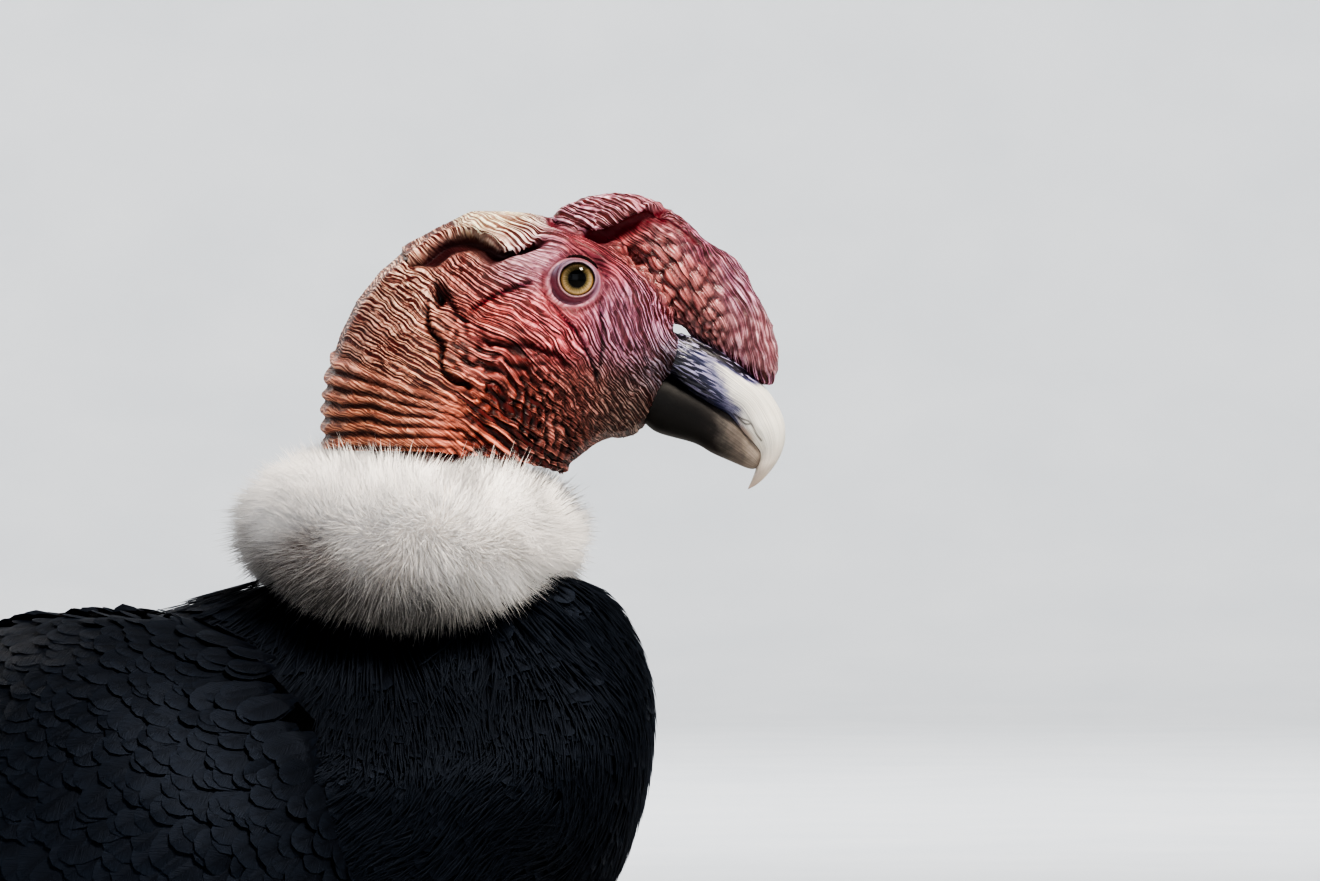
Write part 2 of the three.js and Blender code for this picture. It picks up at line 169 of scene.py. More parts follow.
HEAD_AT = (0.33, 0, 0.66)
soft_light("key_light", (1.45, -1.35, 3.6), HEAD_AT, (0.8, 0.8), 225, "#fff4e6")
soft_light("fill_light", (-1.3, -7.6, 2.3), (0.1, 0, 0.5), (4.8, 4.8), 104, "#eaf1ff")
soft_light("rim_light", (-1.6, 2.8, 2.6), (0.1, 0, 0.5), (1.2, 1.8), 42, "#fff8f0")
for number in range(6):
    turn = math.radians(90 + 60 * number)
    outward = Vector((math.cos(turn), math.sin(turn), 0))
    place = outward * 10 + Vector((0, 0, 7))
    soft_light("wall_light_%d" % number, place, outward * COVE_RADIUS, (6, 3), 1300, "#f4f6fa")

world = bpy.data.worlds.new("studio_air")
world.use_nodes = True
world.node_tree.nodes["Background"].inputs["Color"].default_value = from_hex("#dfe4ea")
world.node_tree.nodes["Background"].inputs["Strength"].default_value = 0.26
bpy.context.scene.world = world

lens = bpy.data.cameras.new("camera")
lens.sensor_width = SENSOR
lens.lens = SENSOR * CAMERA_AWAY / FRAME_WIDTH
lens.clip_end = 60
camera = linked("camera", lens)
camera.location = (COLLAR[0] + FRAME_MIDDLE[0], -CAMERA_AWAY, COLLAR[2] + FRAME_MIDDLE[1])
camera.rotation_euler = (math.pi / 2, 0, 0)
bpy.context.scene.camera = camera
bpy.context.scene.view_settings.view_transform = "AgX"
bpy.context.scene.view_settings.look = "AgX - High Contrast"

# The skin: one closed hide over the head, neck, comb, trunk and legs. It starts from copies of the solids,
# fused and smoothed, then every fold is pressed into it: first the named folds of the face, then the
# wrinkles, which grow on the surface as real ones do, along the lie of the skin.
HEAD_GRAIN = 1.09 * MM
SWELL = 0.45 * MM


def copy_of(*nodes):
    """One bmesh with the merged copies of these nodes' solids."""
    bm = bmesh.new()
    for node in nodes:
        bm.from_mesh(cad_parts[node].data)
    bmesh.ops.remove_doubles(bm, verts=bm.verts, dist=2e-6)
    return bm


def swollen(bm, amount):
    """Moves every vertex out along its normal."""
    bm.normal_update()
    for vert, away in [(v, v.normal * amount) for v in bm.verts]:
        vert.co += away
    return bm


def fused(bm, grain, name):
    """The solids of a bmesh fused into one closed skin of even squares."""
    rough = object_from(bm, name + "_rough")
    remesh = rough.modifiers.new("fuse", "REMESH")
    remesh.mode = "VOXEL"
    remesh.voxel_size = grain
    shape = rough.evaluated_get(bpy.context.evaluated_depsgraph_get())
    mesh = bpy.data.meshes.new_from_object(shape)
    bpy.data.objects.remove(rough)
    return mesh


def points_of(mesh):
    flat = np.empty(len(mesh.vertices) * 3)
    mesh.vertices.foreach_get("co", flat)
    return flat.reshape(-1, 3)


def places_of(mesh):
    """Its points in millimetres from the middle of the ruff."""
    return (points_of(mesh) - COLLAR) / MM


def shape_points(mesh, place):
    """Moves every point of a mesh to a place in millimetres from the middle of the ruff."""
    mesh.vertices.foreach_set("co", (np.asarray(place, float) * MM + COLLAR).ravel())
    mesh.update()


class Hide:
    """A skin mesh as arrays in millimetres from the middle of the ruff, with each point's neighbours."""

    def __init__(self, mesh):
        count = len(mesh.vertices)
        self.mesh = mesh
        self.p = places_of(mesh)
        corners = np.empty(len(mesh.loops), int)
        mesh.loops.foreach_get("vertex_index", corners)
        self.quads = corners.reshape(-1, 4)
        a, b, c, d = self.quads.T
        pairs = [np.stack(pair, 1) for pair in ((a, b), (b, c), (c, d), (d, a), (a, c), (b, d))]
        pairs = np.unique(np.sort(np.concatenate(pairs), axis=1), axis=0)
        ends = np.concatenate([pairs, pairs[:, ::-1]])
        ends = ends[np.argsort(ends[:, 0], kind="stable")]
        valence = np.bincount(ends[:, 0], minlength=count)
        slot = np.arange(len(ends)) - np.repeat(np.cumsum(valence) - valence, valence)
        self.near = np.tile(np.arange(count)[:, None], (1, valence.max()))
        self.near[ends[:, 0], slot] = ends[:, 1]
        self.real = np.arange(valence.max())[None, :] < valence[:, None]
        self.refresh()

    def refresh(self):
        """Works out the normals and the directions to the neighbours again after the points have moved."""
        corner = self.p[self.quads]
        face = np.cross(corner[:, 2] - corner[:, 0], corner[:, 3] - corner[:, 1])
        normal = np.zeros_like(self.p)
        for k in range(4):
            for axis in range(3):
                normal[:, axis] += np.bincount(self.quads[:, k], face[:, axis], len(self.p))
        self.n = normal / np.maximum(np.linalg.norm(normal, axis=1), 1e-9)[:, None]
        self.step = self.p[self.near] - self.p[:, None, :]
        self.reach = np.maximum(np.linalg.norm(self.step, axis=2), 1e-6)

    def even(self, lie=None, pull=0.0):
        """Weights that spread a value to its neighbours, more along the lie of the skin."""
        weight = self.real / self.reach
        if lie is not None:
            along = np.einsum("nkd,nd->nk", self.step, lie) / self.reach
            weight = weight * np.exp(-pull * (1 - along**2))
        return weight / weight.sum(axis=1, keepdims=True)

    def spread(self, value, weight, times, share=1.0):
        for _ in range(times):
            mean = (value[self.near] * weight).sum(axis=1)
            value = value + share * (mean - value)
        return value

    def soften(self, times, share=0.6):
        """Smooths the points themselves, and keeps their volume."""
        weight = self.even()
        for _ in range(times):
            for push in (share, -share * 1.04):
                mean = (self.p[self.near] * weight[:, :, None]).sum(axis=1)
                self.p = self.p + push * (mean - self.p)
        self.refresh()

    def raise_by(self, height):
        self.p = self.p + self.n * height[:, None]
        self.refresh()


def bell(value):
    """1 at 0, with a soft fall to almost 0 at 2 on either side."""
    return np.exp(-(value**2))


def ease(value, low, high):
    """Goes smoothly from 0 at low to 1 at high."""
    t = np.clip((value - low) / (high - low), 0, 1)
    return t * t * (3 - 2 * t)


def smooth_line(points, steps=12):
    """Points along a Catmull-Rom curve through the given ones."""
    p = np.array(points, float)
    p = np.vstack([2 * p[0] - p[1], p, 2 * p[-1] - p[-2]])
    t = np.linspace(0, 1, steps, endpoint=False)[:, None]
    parts = []
    for a, b, c, d in zip(p, p[1:], p[2:], p[3:]):
        bend = 2 * b + (c - a) * t + (2 * a - 5 * b + 4 * c - d) * t**2 + (3 * b - a - 3 * c + d) * t**3
        parts.append(bend / 2)
    return np.vstack([*parts, p[-2][None]])


def off_line(side_view, points):
    """How far each point lies from a line in the side view, its side (+ is left of the line's run) and its
    share of the way along."""
    line = smooth_line(points)
    best = np.full(len(side_view), 1e9)
    hand = np.zeros(len(side_view))
    share = np.zeros(len(side_view))
    for i, (a, b) in enumerate(zip(line, line[1:])):
        run = b - a
        t = np.clip(((side_view - a) @ run) / (run @ run), 0, 1)
        away = side_view - a - t[:, None] * run
        distance = np.linalg.norm(away, axis=1)
        closer = distance < best
        best[closer] = distance[closer]
        hand[closer] = np.sign(run[0] * away[:, 1] - run[1] * away[:, 0])[closer]
        share[closer] = ((i + t) / (len(line) - 1))[closer]
    return best, hand, share


def fade_ends(share, start=0.12, end=0.12):
    return ease(share, 0, start) * ease(1 - share, 0, end)


# The eyeballs' places, which the lids are moulded over.
eye_low, eye_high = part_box("eye_right")
EYE_RADIUS = (eye_high.z - eye_low.z) / 2 / MM
eye_at = (np.array((eye_low + eye_high) / 2) - COLLAR) / MM

head_solids = swollen(copy_of("head", "neck", "comb", "eye_right", "eye_left"), SWELL)
hide = Hide(fused(head_solids, HEAD_GRAIN, "head_skin"))
hide.soften(10)

# The comb's outline is drawn a little closer to the photo's: each row is a place and the way it moves.
COMB_MOVES = [
    # forward, up, radius, moved forward, moved up
    (134, 142, 6, -3.0, -4.4),
    (145, 122, 8, 2.2, 2.2),
    (157, 102, 7, 0.6, 0.6),
    (126, 88, 5, 0.0, -2.6),
    (138, 84, 6, 0.0, -2.6),
    (150, 78, 6, 0.0, -2.6),
    (158, 74, 6, 0.0, -3.0),
]
for forward, up, radius, move_forward, move_up in COMB_MOVES:
    near_place = np.exp(-((hide.p[:, 0] - forward) ** 2 + (hide.p[:, 2] - up) ** 2) / (2 * radius**2))
    hide.p[:, 0] += move_forward * near_place
    hide.p[:, 2] += move_up * near_place
blunted = np.exp(-((hide.p[:, 0] - 135) ** 2 + (hide.p[:, 2] - 139) ** 2) / 72)
hide.soften(40, 0.7 * blunted[:, None])

# How the skin changes over the face, neck and comb. Each place lies so many millimetres forward of and
# above the middle of the ruff. It gives the direction across its folds, how strictly they keep to it, their
# spacing and depth, how much wider the crests are than the grooves, the direction across the fine lines that
# run over the folds, and the colours of crest and groove. The groove colour is painted shade: the crest's
# skin as it looks in the shade at the bottom of a fold.
FACE_PLACES = [
    # forward, up, radius, across, pull, spacing, depth, width, fine, crest, groove
    (-34, 55, 16, 84, 3.0, 4.4, 0.25, 0.0, 84, "#bc7a60", "#3a0e06"),
    (-24, 95, 14, 62, 3.0, 4.6, 0.35, 0.0, 66, "#c69080", "#501a12"),
    (-4, 120, 12, 52, 3.0, 4.6, 0.35, 0.0, 58, "#dcae9a", "#62281a"),
    (2, 72, 11, 68, 3.0, 5.2, 0.50, 0.1, 68, "#d09078", "#4c140a"),
    (36, 143, 9, 75, 0.6, 5.0, 0.35, 0.1, 75, "#f8ecd0", "#a8784a"),
    (22, 122, 10, 8, 2.5, 4.6, 0.45, 0.0, 6, "#c47870", "#48101a"),
    (48, 125, 9, 60, 1.0, 4.6, 0.15, 0.0, 70, "#c090a0", "#6a3044"),
    (34, 99, 10, 35, 1.5, 5.2, 0.80, 0.1, 34, "#e6827a", "#80101c"),
    (60, 96, 10, 45, 1.5, 5.2, 0.60, 0.1, 42, "#e07a80", "#7a1020"),
    (94, 98, 12, 4, 3.0, 4.8, 0.35, 0.0, 4, "#c08299", "#4a1c30"),
    (84, 128, 9, 60, 2.0, 4.2, 0.50, 0.0, 52, "#b45c62", "#480c1c"),
    (15, 90, 8, 12, 0.6, 6.0, 1.6, 0.2, 95, "#d08e78", "#300a08"),
    (32, 84, 7, 60, 0.2, 6.4, 2.3, 0.25, 120, "#e08a82", "#38060a"),
    (50, 82, 7, 95, 0.4, 6.4, 2.3, 0.25, 10, "#dc827a", "#38060a"),
    (50, 64, 8, 0, 1.8, 6.0, 2.4, 0.15, 92, "#c66e5e", "#2c0606"),
    (72, 66, 8, 30, 2.4, 4.6, 1.5, 0.1, 30, "#bc7268", "#340608"),
    (62, 48, 9, 0, 0.8, 6.2, 2.0, 0.2, 80, "#b47064", "#280404"),
    (26, 58, 10, 72, 0.8, 6.4, 2.2, 0.2, 72, "#e0846a", "#5a120a"),
    (90, 62, 11, 25, 1.5, 4.6, 0.8, 0.1, 25, "#806058", "#24100e"),
    (110, 80, 7, 20, 1.5, 4.4, 0.5, 0.0, 45, "#84747f", "#201a2a"),
]
# The comb's places, read the same way: their groove colours too are painted shade.
COMB_PLACES = [
    # forward, up, radius, along the rows, stretch, cobble size, depth, width, fine, crest, groove
    (120, 112, 9, -50, 1.7, 5.8, 2.6, 0.0, 40, "#ee9894", "#440208"),
    (104, 124, 9, -46, 1.7, 5.4, 2.4, 0.0, 44, "#ee9a96", "#4a030a"),
    (124, 96, 7, -54, 1.3, 4.6, 2.2, 0.0, 36, "#e29c98", "#420208"),
    (146, 116, 7, -56, 3.0, 3.6, 1.0, 0.0, 34, "#d4a2b6", "#6a2440"),
    (152, 92, 7, -76, 2.0, 3.8, 1.4, 0.0, 14, "#cc9aa2", "#5c1424"),
    (82, 150, 8, 30, 1.3, 5.0, 0.7, 0.0, 78, "#deaab6", "#742438"),
    (106, 148, 7, -20, 1.3, 5.0, 0.7, 0.0, 70, "#d69aa6", "#701e30"),
    (98, 136, 6, -36, 1.6, 4.6, 0.6, 0.0, 56, "#981622", "#4a040c"),
    (128, 133, 6, -48, 2.2, 3.6, 0.7, 0.0, 42, "#ba728a", "#5c1830"),
]
COMB_ROOT = [
    (56, 142), (80, 133), (98, 119), (110, 104), (117, 96), (130, 88), (141, 82), (150, 76), (160, 74),
]
RANDOM = np.random.default_rng(7)
# Factors of the skin's colour: a painted highlight on the tops of the lines, painted shade in their bottoms.
HIGHLIT, SHADED = (1.5, 1.85, 1.85), (0.14, 0.026, 0.022)
LINE_PATCH, LINES_PER_PATCH = 0.28, 2.4
TANGLE_PATCH, TANGLES_PER_PATCH = 0.13, 2.0

side = hide.p[:, [0, 2]]
root_away, root_hand, _ = off_line(side, COMB_ROOT)
comb_share = ease(root_away * root_hand, -1.0, 3.0) * ease(side[:, 0], 54, 60)


def blended(places, column, convert=float):
    """One column of a table of places, blended over the skin."""
    near = [np.exp(-((side - row[:2]) ** 2).sum(axis=1) / (2 * row[2] ** 2)) for row in places]
    weight = np.stack(near, 1)
    weight = weight / (weight.sum(axis=1, keepdims=True) + 1e-12)
    return weight @ np.array([convert(row[column]) for row in places])


def over_skin(column, convert=float):
    face_value = blended(FACE_PLACES, column, convert)
    comb_value = blended(COMB_PLACES, column, convert)
    share = comb_share if face_value.ndim == 1 else comb_share[:, None]
    return face_value + (comb_value - face_value) * share


def facing(degrees):
    return np.array([math.cos(math.radians(degrees)), 0, math.sin(math.radians(degrees))])


def on_surface(direction):
    """A direction laid down on the skin."""
    flat = direction - (direction * hide.n).sum(axis=1, keepdims=True) * hide.n
    return flat / np.maximum(np.linalg.norm(flat, axis=1), 0.15)[:, None]


def level_along(direction, rounds=220):
    """A height in millimetres that climbs along `direction` all over the skin, by conjugate gradients."""
    link = hide.real.astype(float)
    slope = np.einsum("nkd,nkd->nk", hide.step, (direction[hide.near] + direction[:, None, :]) / 2) * link
    degree = link.sum(axis=1)
    value = hide.p @ direction.mean(axis=0)

    def spring(v):
        return degree * v - (v[hide.near] * link).sum(axis=1)

    rest = -slope.sum(axis=1) - spring(value)
    turn = rest / degree
    power = rest @ turn
    for _ in range(rounds):
        stiff = spring(turn)
        size = power / (turn @ stiff)
        value = value + size * turn
        rest = rest - size * stiff
        drive = rest / degree
        new_power = rest @ drive
        turn = drive + new_power / power * turn
        power = new_power
    return value


face_across = blended(FACE_PLACES, 3, facing)
comb_along = blended(COMB_PLACES, 3, facing)
comb_across = comb_along[:, [2, 1, 0]] * [-1, 1, 1]
across = on_surface(face_across + (comb_across - face_across) * comb_share[:, None])
along = np.cross(hide.n, across)
fine_across = on_surface(over_skin(8, facing))
fold_level = level_along(fine_across)
fold_run = level_along(np.cross(hide.n, fine_across))


def grown_wrinkles(spacing, pull, width, rounds=26):
    """Wrinkles grown from noise: each point copies its near neighbours and opposes those further off."""
    value = RANDOM.normal(size=len(hide.p)) * 0.3
    near_weight = hide.even(along, pull[:, None])
    wide_weight = hide.even()
    share = np.clip(spacing**2 * 0.0145 * (0.95 * MM / HEAD_GRAIN) ** 2, 0, 0.95)
    for _ in range(rounds):
        close = hide.spread(value, near_weight, 3, share)
        wide = hide.spread(close, wide_weight, 6, share)
        value = np.tanh(7 * (close - wide) + width)
    return hide.spread(value, near_weight, 1, 0.6)


def cobbles(size, stretch, rounds=5):
    """Closed cells over the comb with cracks between them, as the distance in millimetres into each cell."""
    spots = np.flatnonzero(comb_share > 0.02)
    p = hide.p[spots]
    lie = on_surface(comb_along)[spots]
    count = int((HEAD_GRAIN / MM) ** 2 * (1.15 / (size[spots] ** 2 * stretch[spots])).sum())
    chance = 1 / (size[spots] ** 2 * stretch[spots])
    seeds = RANDOM.choice(len(spots), count, replace=False, p=chance / chance.sum())
    for turn in range(rounds):
        nearest = np.full(len(spots), 1e9)
        second = nearest.copy()
        owner = np.zeros(len(spots), int)
        for k, seed in enumerate(seeds):
            off = p - p[seed]
            run = off @ lie[seed]
            squash = 1 - 1 / stretch[spots[seed]] ** 2
            away = np.sqrt(np.maximum((off**2).sum(axis=1) - squash * run**2, 0)) / size[spots[seed]]
            closer = away < nearest
            second = np.where(closer, nearest, np.minimum(second, away))
            owner[closer] = k
            nearest = np.where(closer, away, nearest)
        if turn < rounds - 1:
            total = np.stack([np.bincount(owner, p[:, axis], count) for axis in range(3)], 1)
            middle = total / np.maximum(np.bincount(owner, minlength=count), 1)[:, None]
            for k in range(count):
                own = np.flatnonzero(owner == k)
                if len(own):
                    seeds[k] = own[((p[own] - middle[k]) ** 2).sum(axis=1).argmin()]
    depth_in = np.zeros(len(hide.p))
    depth_in[spots] = (second - nearest) * size[spots]
    tone = np.zeros(len(hide.p))
    tone[spots] = RANDOM.random(count)[owner]
    return depth_in, tone


def soft_noise(rounds):
    """Slow noise over the skin, one value a point, of unit spread."""
    value = hide.spread(RANDOM.normal(size=len(hide.p)), hide.even(), rounds)
    return value / value.std()


depth = over_skin(6)
wrinkle = grown_wrinkles(blended(FACE_PLACES, 5), blended(FACE_PLACES, 4), blended(FACE_PLACES, 7))
crack, cobble_tone = cobbles(blended(COMB_PLACES, 5), blended(COMB_PLACES, 4))
cobble = ease(crack, 0.0, 3.0)

lumps = comb_share * np.clip(0.78 * cobble + 0.22 * (0.5 + 0.5 * wrinkle), 0, 1)
crest = (1 - comb_share) * (0.5 + 0.5 * wrinkle) + lumps
height = depth * (crest - 0.55 + 0.30 * comb_share)

# The neck's thick rings, each with a pale crest and painted shade in its groove, dip forward and lose
# themselves in the throat's folds.
RINGS = 4.3
ring_low = 49.7 - 0.04 * (side[:, 0] + 38)
ring_high = 81.4 - 0.35 * (side[:, 0] + 38)
sway = soft_noise(60)
ring_phase = RINGS * (side[:, 1] - ring_low) / (ring_high - ring_low) + 0.13 * sway
ring_share = ease(32 - side[:, 0], 0, 20) * ease(RINGS + 0.9 - ring_phase, 0, 0.6)
saw = ring_phase - np.floor(ring_phase)
ring = np.where(saw < 0.3, ease(saw, 0, 0.3), 1 - ease(saw, 0.42, 1.0))
height = height * (1 - 0.6 * ring_share) + ring_share * 2.5 * (ring - 0.35)
crest = crest * (1 - 0.85 * ring_share) + 0.85 * ring_share * ring

# The named folds, each a line in the side view. A lip stands over a groove along its lower side, and the
# groove is darkened with painted shade.
CROWN_FOLD = [
    (-3, 125), (1.3, 127.6), (9.2, 134.2), (15, 137.6), (26, 139), (33.9, 135.6), (39.5, 131.3), (46, 130.7),
    (53.2, 133.2), (62, 136.4),
]
COMB_FLAP = [
    (59.4, 144.6), (67.3, 141.4), (76.1, 139.8), (84, 140.2), (90.6, 143.0), (98.1, 146.6), (106.5, 149.2),
    (113, 148.4),
]
COMB_FLAP_FRONT = [(108, 147.6), (115, 143.6), (122, 139.0), (126, 135.5), (129, 131)]
SMALL_FOLDS = {
    # the line, lip, groove, width, how far the lip reaches back
    "temple": ([(24, 102.5), (30, 106.5), (37, 110.4), (47, 114.2), (54, 116.5)], 0.9, 2.0, 1.1, 5),
    "cheek": ([(59, 112), (62, 106), (70, 97), (76, 88), (81, 77), (82, 70)], 0.7, 1.8, 0.9, 4),
    "lore": ([(82, 110), (83.6, 100), (83.8, 88), (83, 74)], 0.6, 1.7, 0.8, 4),
    "ear": ([(9, 117), (15, 113), (19, 106), (22, 101), (27, 99)], 2.2, 2.0, 1.5, 3),
    "ear tail": (
        [(8, 112), (7.5, 102), (10, 94), (15, 88), (14, 80), (19, 73), (26, 71), (25, 64)],
        2.0, 2.6, 1.6, 3.2,
    ),
    "shelf": (
        [(29, 92), (35, 90), (42, 88.5), (50, 88.5), (58, 86.5), (66, 83), (71, 76)],
        1.8, 2.2, 1.6, 5,
    ),
}


def fold(points, lip, groove, width, back, on, start=0.12, end=0.12, spill=0.0):
    """Raises the upper side of a line into a lip and sinks a groove along its lower side."""
    global height, crest
    away, hand, share = off_line(side, points)
    signed = away * hand
    here = fade_ends(share, start, end) * on
    here = here * np.exp(-np.maximum(away * (np.minimum(share, 1 - share) < 0.004), 0) / 1.5)
    raised = ease(signed, -0.5, 1.0) * np.exp(-np.maximum(signed, 0) / back)
    sunk = ease(-signed, -0.4, 0.35 * width) * (1 - ease(-signed, 0.7 * width, 2.3 * width))
    height = height + here * (lip * raised - groove * sunk)
    # The groove's crest share drops, so the groove takes painted shade from the groove colour.
    crest = crest * (1 - 0.9 * here * sunk)
    if spill:
        edge = here * bell((signed - 1.6) / 2.2)
        hide.p[:, 2] -= spill * edge
        hide.p[:, 1] += np.sign(hide.p[:, 1]) * spill * 0.7 * edge
    return here, signed


face = 1 - comb_share
right_comb = comb_share * ease(-hide.p[:, 1], -2, 2)
crown_width = 1.8 + 3.4 * ease(side[:, 0], 0, 12) * ease(side[:, 0], 46, 32)
crown_here, crown_side = fold(CROWN_FOLD, 3.4, 6.0, crown_width, back=12, start=0.05, on=face, spill=3.0)
flap_here, flap_side = fold(
    COMB_FLAP, 2.8, 4.2, 4.6, back=11, start=0.04, end=0.06, on=right_comb, spill=1.6,
)
front_on = right_comb * ease(-hide.n[:, 1], 0.3, 0.8)
front_here, front_side = fold(COMB_FLAP_FRONT, 1.2, 1.8, 2.6, back=5, start=0.06, end=0.2, on=front_on)
for small_fold in SMALL_FOLDS.values():
    fold(*small_fold, on=face)

# The brow: a red ridge from the root of the comb round to the front of the eye.
BROW_RIDGE = [(54, 136.5), (64, 134.4), (73.5, 131.6), (82, 126), (88.5, 119), (92, 109)]
brow_away, brow_hand, brow_share = off_line(side, BROW_RIDGE)
brow = face * fade_ends(brow_share) * bell(brow_away / 2.6)
height += 1.8 * brow

# The ear: a pit behind the cheek, darkened with painted shade.
EAR_PIT = (11.5, 108.6)
pit_away = np.hypot((side[:, 0] - EAR_PIT[0]) / 3.2, (side[:, 1] - EAR_PIT[1]) / 4.4)
height -= 5.5 * bell(pit_away) * face
crest = crest * (1 - 0.95 * bell(pit_away))

# Slow unevenness, so that the cheeks and throat are lumpy and the two sides differ.
height += 0.8 * soft_noise(110) * (0.35 + 0.65 * ease(depth, 0.4, 1.6))

# Room for the eye: the skin round it lies smooth, in an oval a little behind and below the eye's middle.
LID_OVAL = (-1.4, -1.4, 11.2, 10.3)
LID_THICKNESS = 0.9


def from_lids(forward, up):
    """How far a place is from the middle of the lids, as a share of their oval."""
    return np.hypot((forward - LID_OVAL[0]) / LID_OVAL[2], (up - LID_OVAL[1]) / LID_OVAL[3])


eye_forward, eye_up = side[:, 0] - eye_at[0], side[:, 1] - eye_at[2]
lid_away = from_lids(eye_forward, eye_up)
smooth_here = ease(lid_away, 1.36, 1.05) * face
height = height * (1 - smooth_here) - 1.3 * bell((lid_away - 1.20) / 0.11) * face
crest = crest * (1 - smooth_here) + 0.6 * smooth_here
height = height * (1 - ease(-hide.n[:, 2], 0.4, 0.8) * ease(50 - side[:, 1], 0, 8))
height = np.maximum(height, -6.0 + 2.2 * comb_share)
height = hide.spread(height, hide.even(), 1, 0.3)
hide.refresh()
before = hide.n.copy()
hide.raise_by(height)
for _ in range(8):
    folded_over = ease((hide.n * before).sum(axis=1), 0.45, 0.0)
    folded_over = np.clip(3 * hide.spread(folded_over, hide.even(), 2), 0, 1)
    hide.soften(2, 0.7 * folded_over[:, None])
comb_edge = comb_share * ease(np.abs(hide.n[:, 1]), 0.75, 0.35) * ease(np.abs(hide.p[:, 1]), 7, 3)
hide.soften(1, 0.25)
hide.soften(4, 0.6 * comb_edge[:, None])
crest = np.clip(crest, 0, 1)

# The colours of the skin: pale crests, painted shade in the grooves, from the groove colours, and more
# painted shade in the hollows.
tone = over_skin(9, rgb)
shade = over_skin(10, rgb)
hollow = height - hide.spread(height, hide.even(), 14)
light_share = np.clip(0.55 * ease(crest, 0.05, 0.95) + 0.45 * ease(hollow, -1.1, 0.8), 0, 1)
light_share = light_share * (1 - 0.25 * comb_share * cobble_tone)
flesh = shade + (tone - shade) * light_share[:, None]


def tint_or_shade(colour, share):
    """Tints the skin towards a colour, by a share for each point: the brow's own red, and painted shade."""
    global flesh
    flesh = flesh + (rgb(colour) - flesh) * np.clip(share, 0, 1)[:, None]


# Painted shadow under the crown's fold, where the skin is also its own dark red, and under the comb's flaps.
under_crown = crown_here * ease(-crown_side, -0.4, 0.8)
under_crown = under_crown * ease(-crown_side, 2.6 * crown_width, 1.5 * crown_width)
under_flap = flap_here * ease(-flap_side, -0.4, 0.8) * ease(-flap_side, 11, 4)
under_front = front_here * ease(-front_side, -0.4, 0.8) * ease(-front_side, 7, 2.5)
tint_or_shade("#2e0a10", 0.95 * under_crown)
tint_or_shade("#5c0a18", 0.95 * np.maximum(under_flap, under_front))
tint_or_shade("#9a3040", 0.35 * brow)
# Painted shade in the ear's pit, under the brow over the eye and in the crease below the lid.
tint_or_shade("#260a0a", 1.1 * bell(pit_away / 0.8) * face)
brow_shadow = np.exp(-(((eye_forward - 10.5) / 5.5) ** 2) - ((eye_up - 8.0) / 5.0) ** 2) * face
tint_or_shade("#4a0e1c", 0.85 * brow_shadow)
lower_crease = bell((lid_away - 1.22) / 0.10) * ease(-eye_up - 0.4 * eye_forward, -2, 5) * face
tint_or_shade("#5c0a18", 0.85 * lower_crease)
shape_points(hide.mesh, hide.p)


def put_attribute(mesh, name, values, kind="FLOAT_VECTOR"):
    """Stores one value, colour or direction for each point of a mesh, for its material to read."""
    layer = mesh.attributes.new(name, kind, "POINT")
    if kind == "FLOAT_COLOR":
        full = np.ones((len(values), 4), np.float32)
        full[:, :3] = values
        layer.data.foreach_set("color", full.ravel())
    else:
        key = "value" if kind == "FLOAT" else "vector"
        layer.data.foreach_set(key, np.asarray(values, np.float32).ravel())


def tell_skin(mesh, flesh, lie, lined, tangled, wet):
    """Stores what the skin's material reads: colour, lie, and how lined, tangled and wet it is."""
    count = len(mesh.vertices)
    put_attribute(mesh, "flesh", np.broadcast_to(flesh, (count, 3)), "FLOAT_COLOR")
    put_attribute(mesh, "lie", lie)
    for name, values in (("lined", lined), ("tangled", tangled), ("wet", wet)):
        put_attribute(mesh, name, np.broadcast_to(values, count), "FLOAT")


wavy_level = fold_level + 0.35 * soft_noise(7)
lie = np.stack([wavy_level, fold_run, np.sign(hide.p[:, 1]) * 50], 1)
under = np.maximum(np.maximum(under_crown, under_flap), under_front)
lined = (1 - 0.35 * face * ease(depth, 0.7, 2.0)) * (1 - 0.6 * comb_share * ease(depth, 0.8, 1.8))
lined = lined * (1 - 0.9 * under) * (1 - 0.35 * ring_share)


def soft_spot(forward, up, wide, high):
    """A soft oval of the face, 1 in its middle."""
    return np.exp(-(((side[:, 0] - forward) / wide) ** 2) - ((side[:, 1] - up) / high) ** 2) * face


lilac, pale_crown, lore = soft_spot(50, 124, 9, 6), soft_spot(36, 145, 14, 7), soft_spot(93, 98, 9, 14)
lined = lined * (1 - 0.5 * ease(lid_away, 2.2, 1.3) * face)
lined = lined * (1 - 0.5 * lilac) * (1 - 0.5 * pale_crown) * (1 - 0.25 * lore) * (1 - 0.97 * smooth_here)
tangled = face * ease(depth, 0.9, 2.0) * (1 - 0.85 * ring_share) + 0.45 * comb_share * ease(depth, 1.2, 2.2)
tangled = tangled * (1 - under) * (1 - smooth_here)
tell_skin(hide.mesh, flesh, lie, lined, tangled, comb_share * ease(depth, 0.8, 2.0))
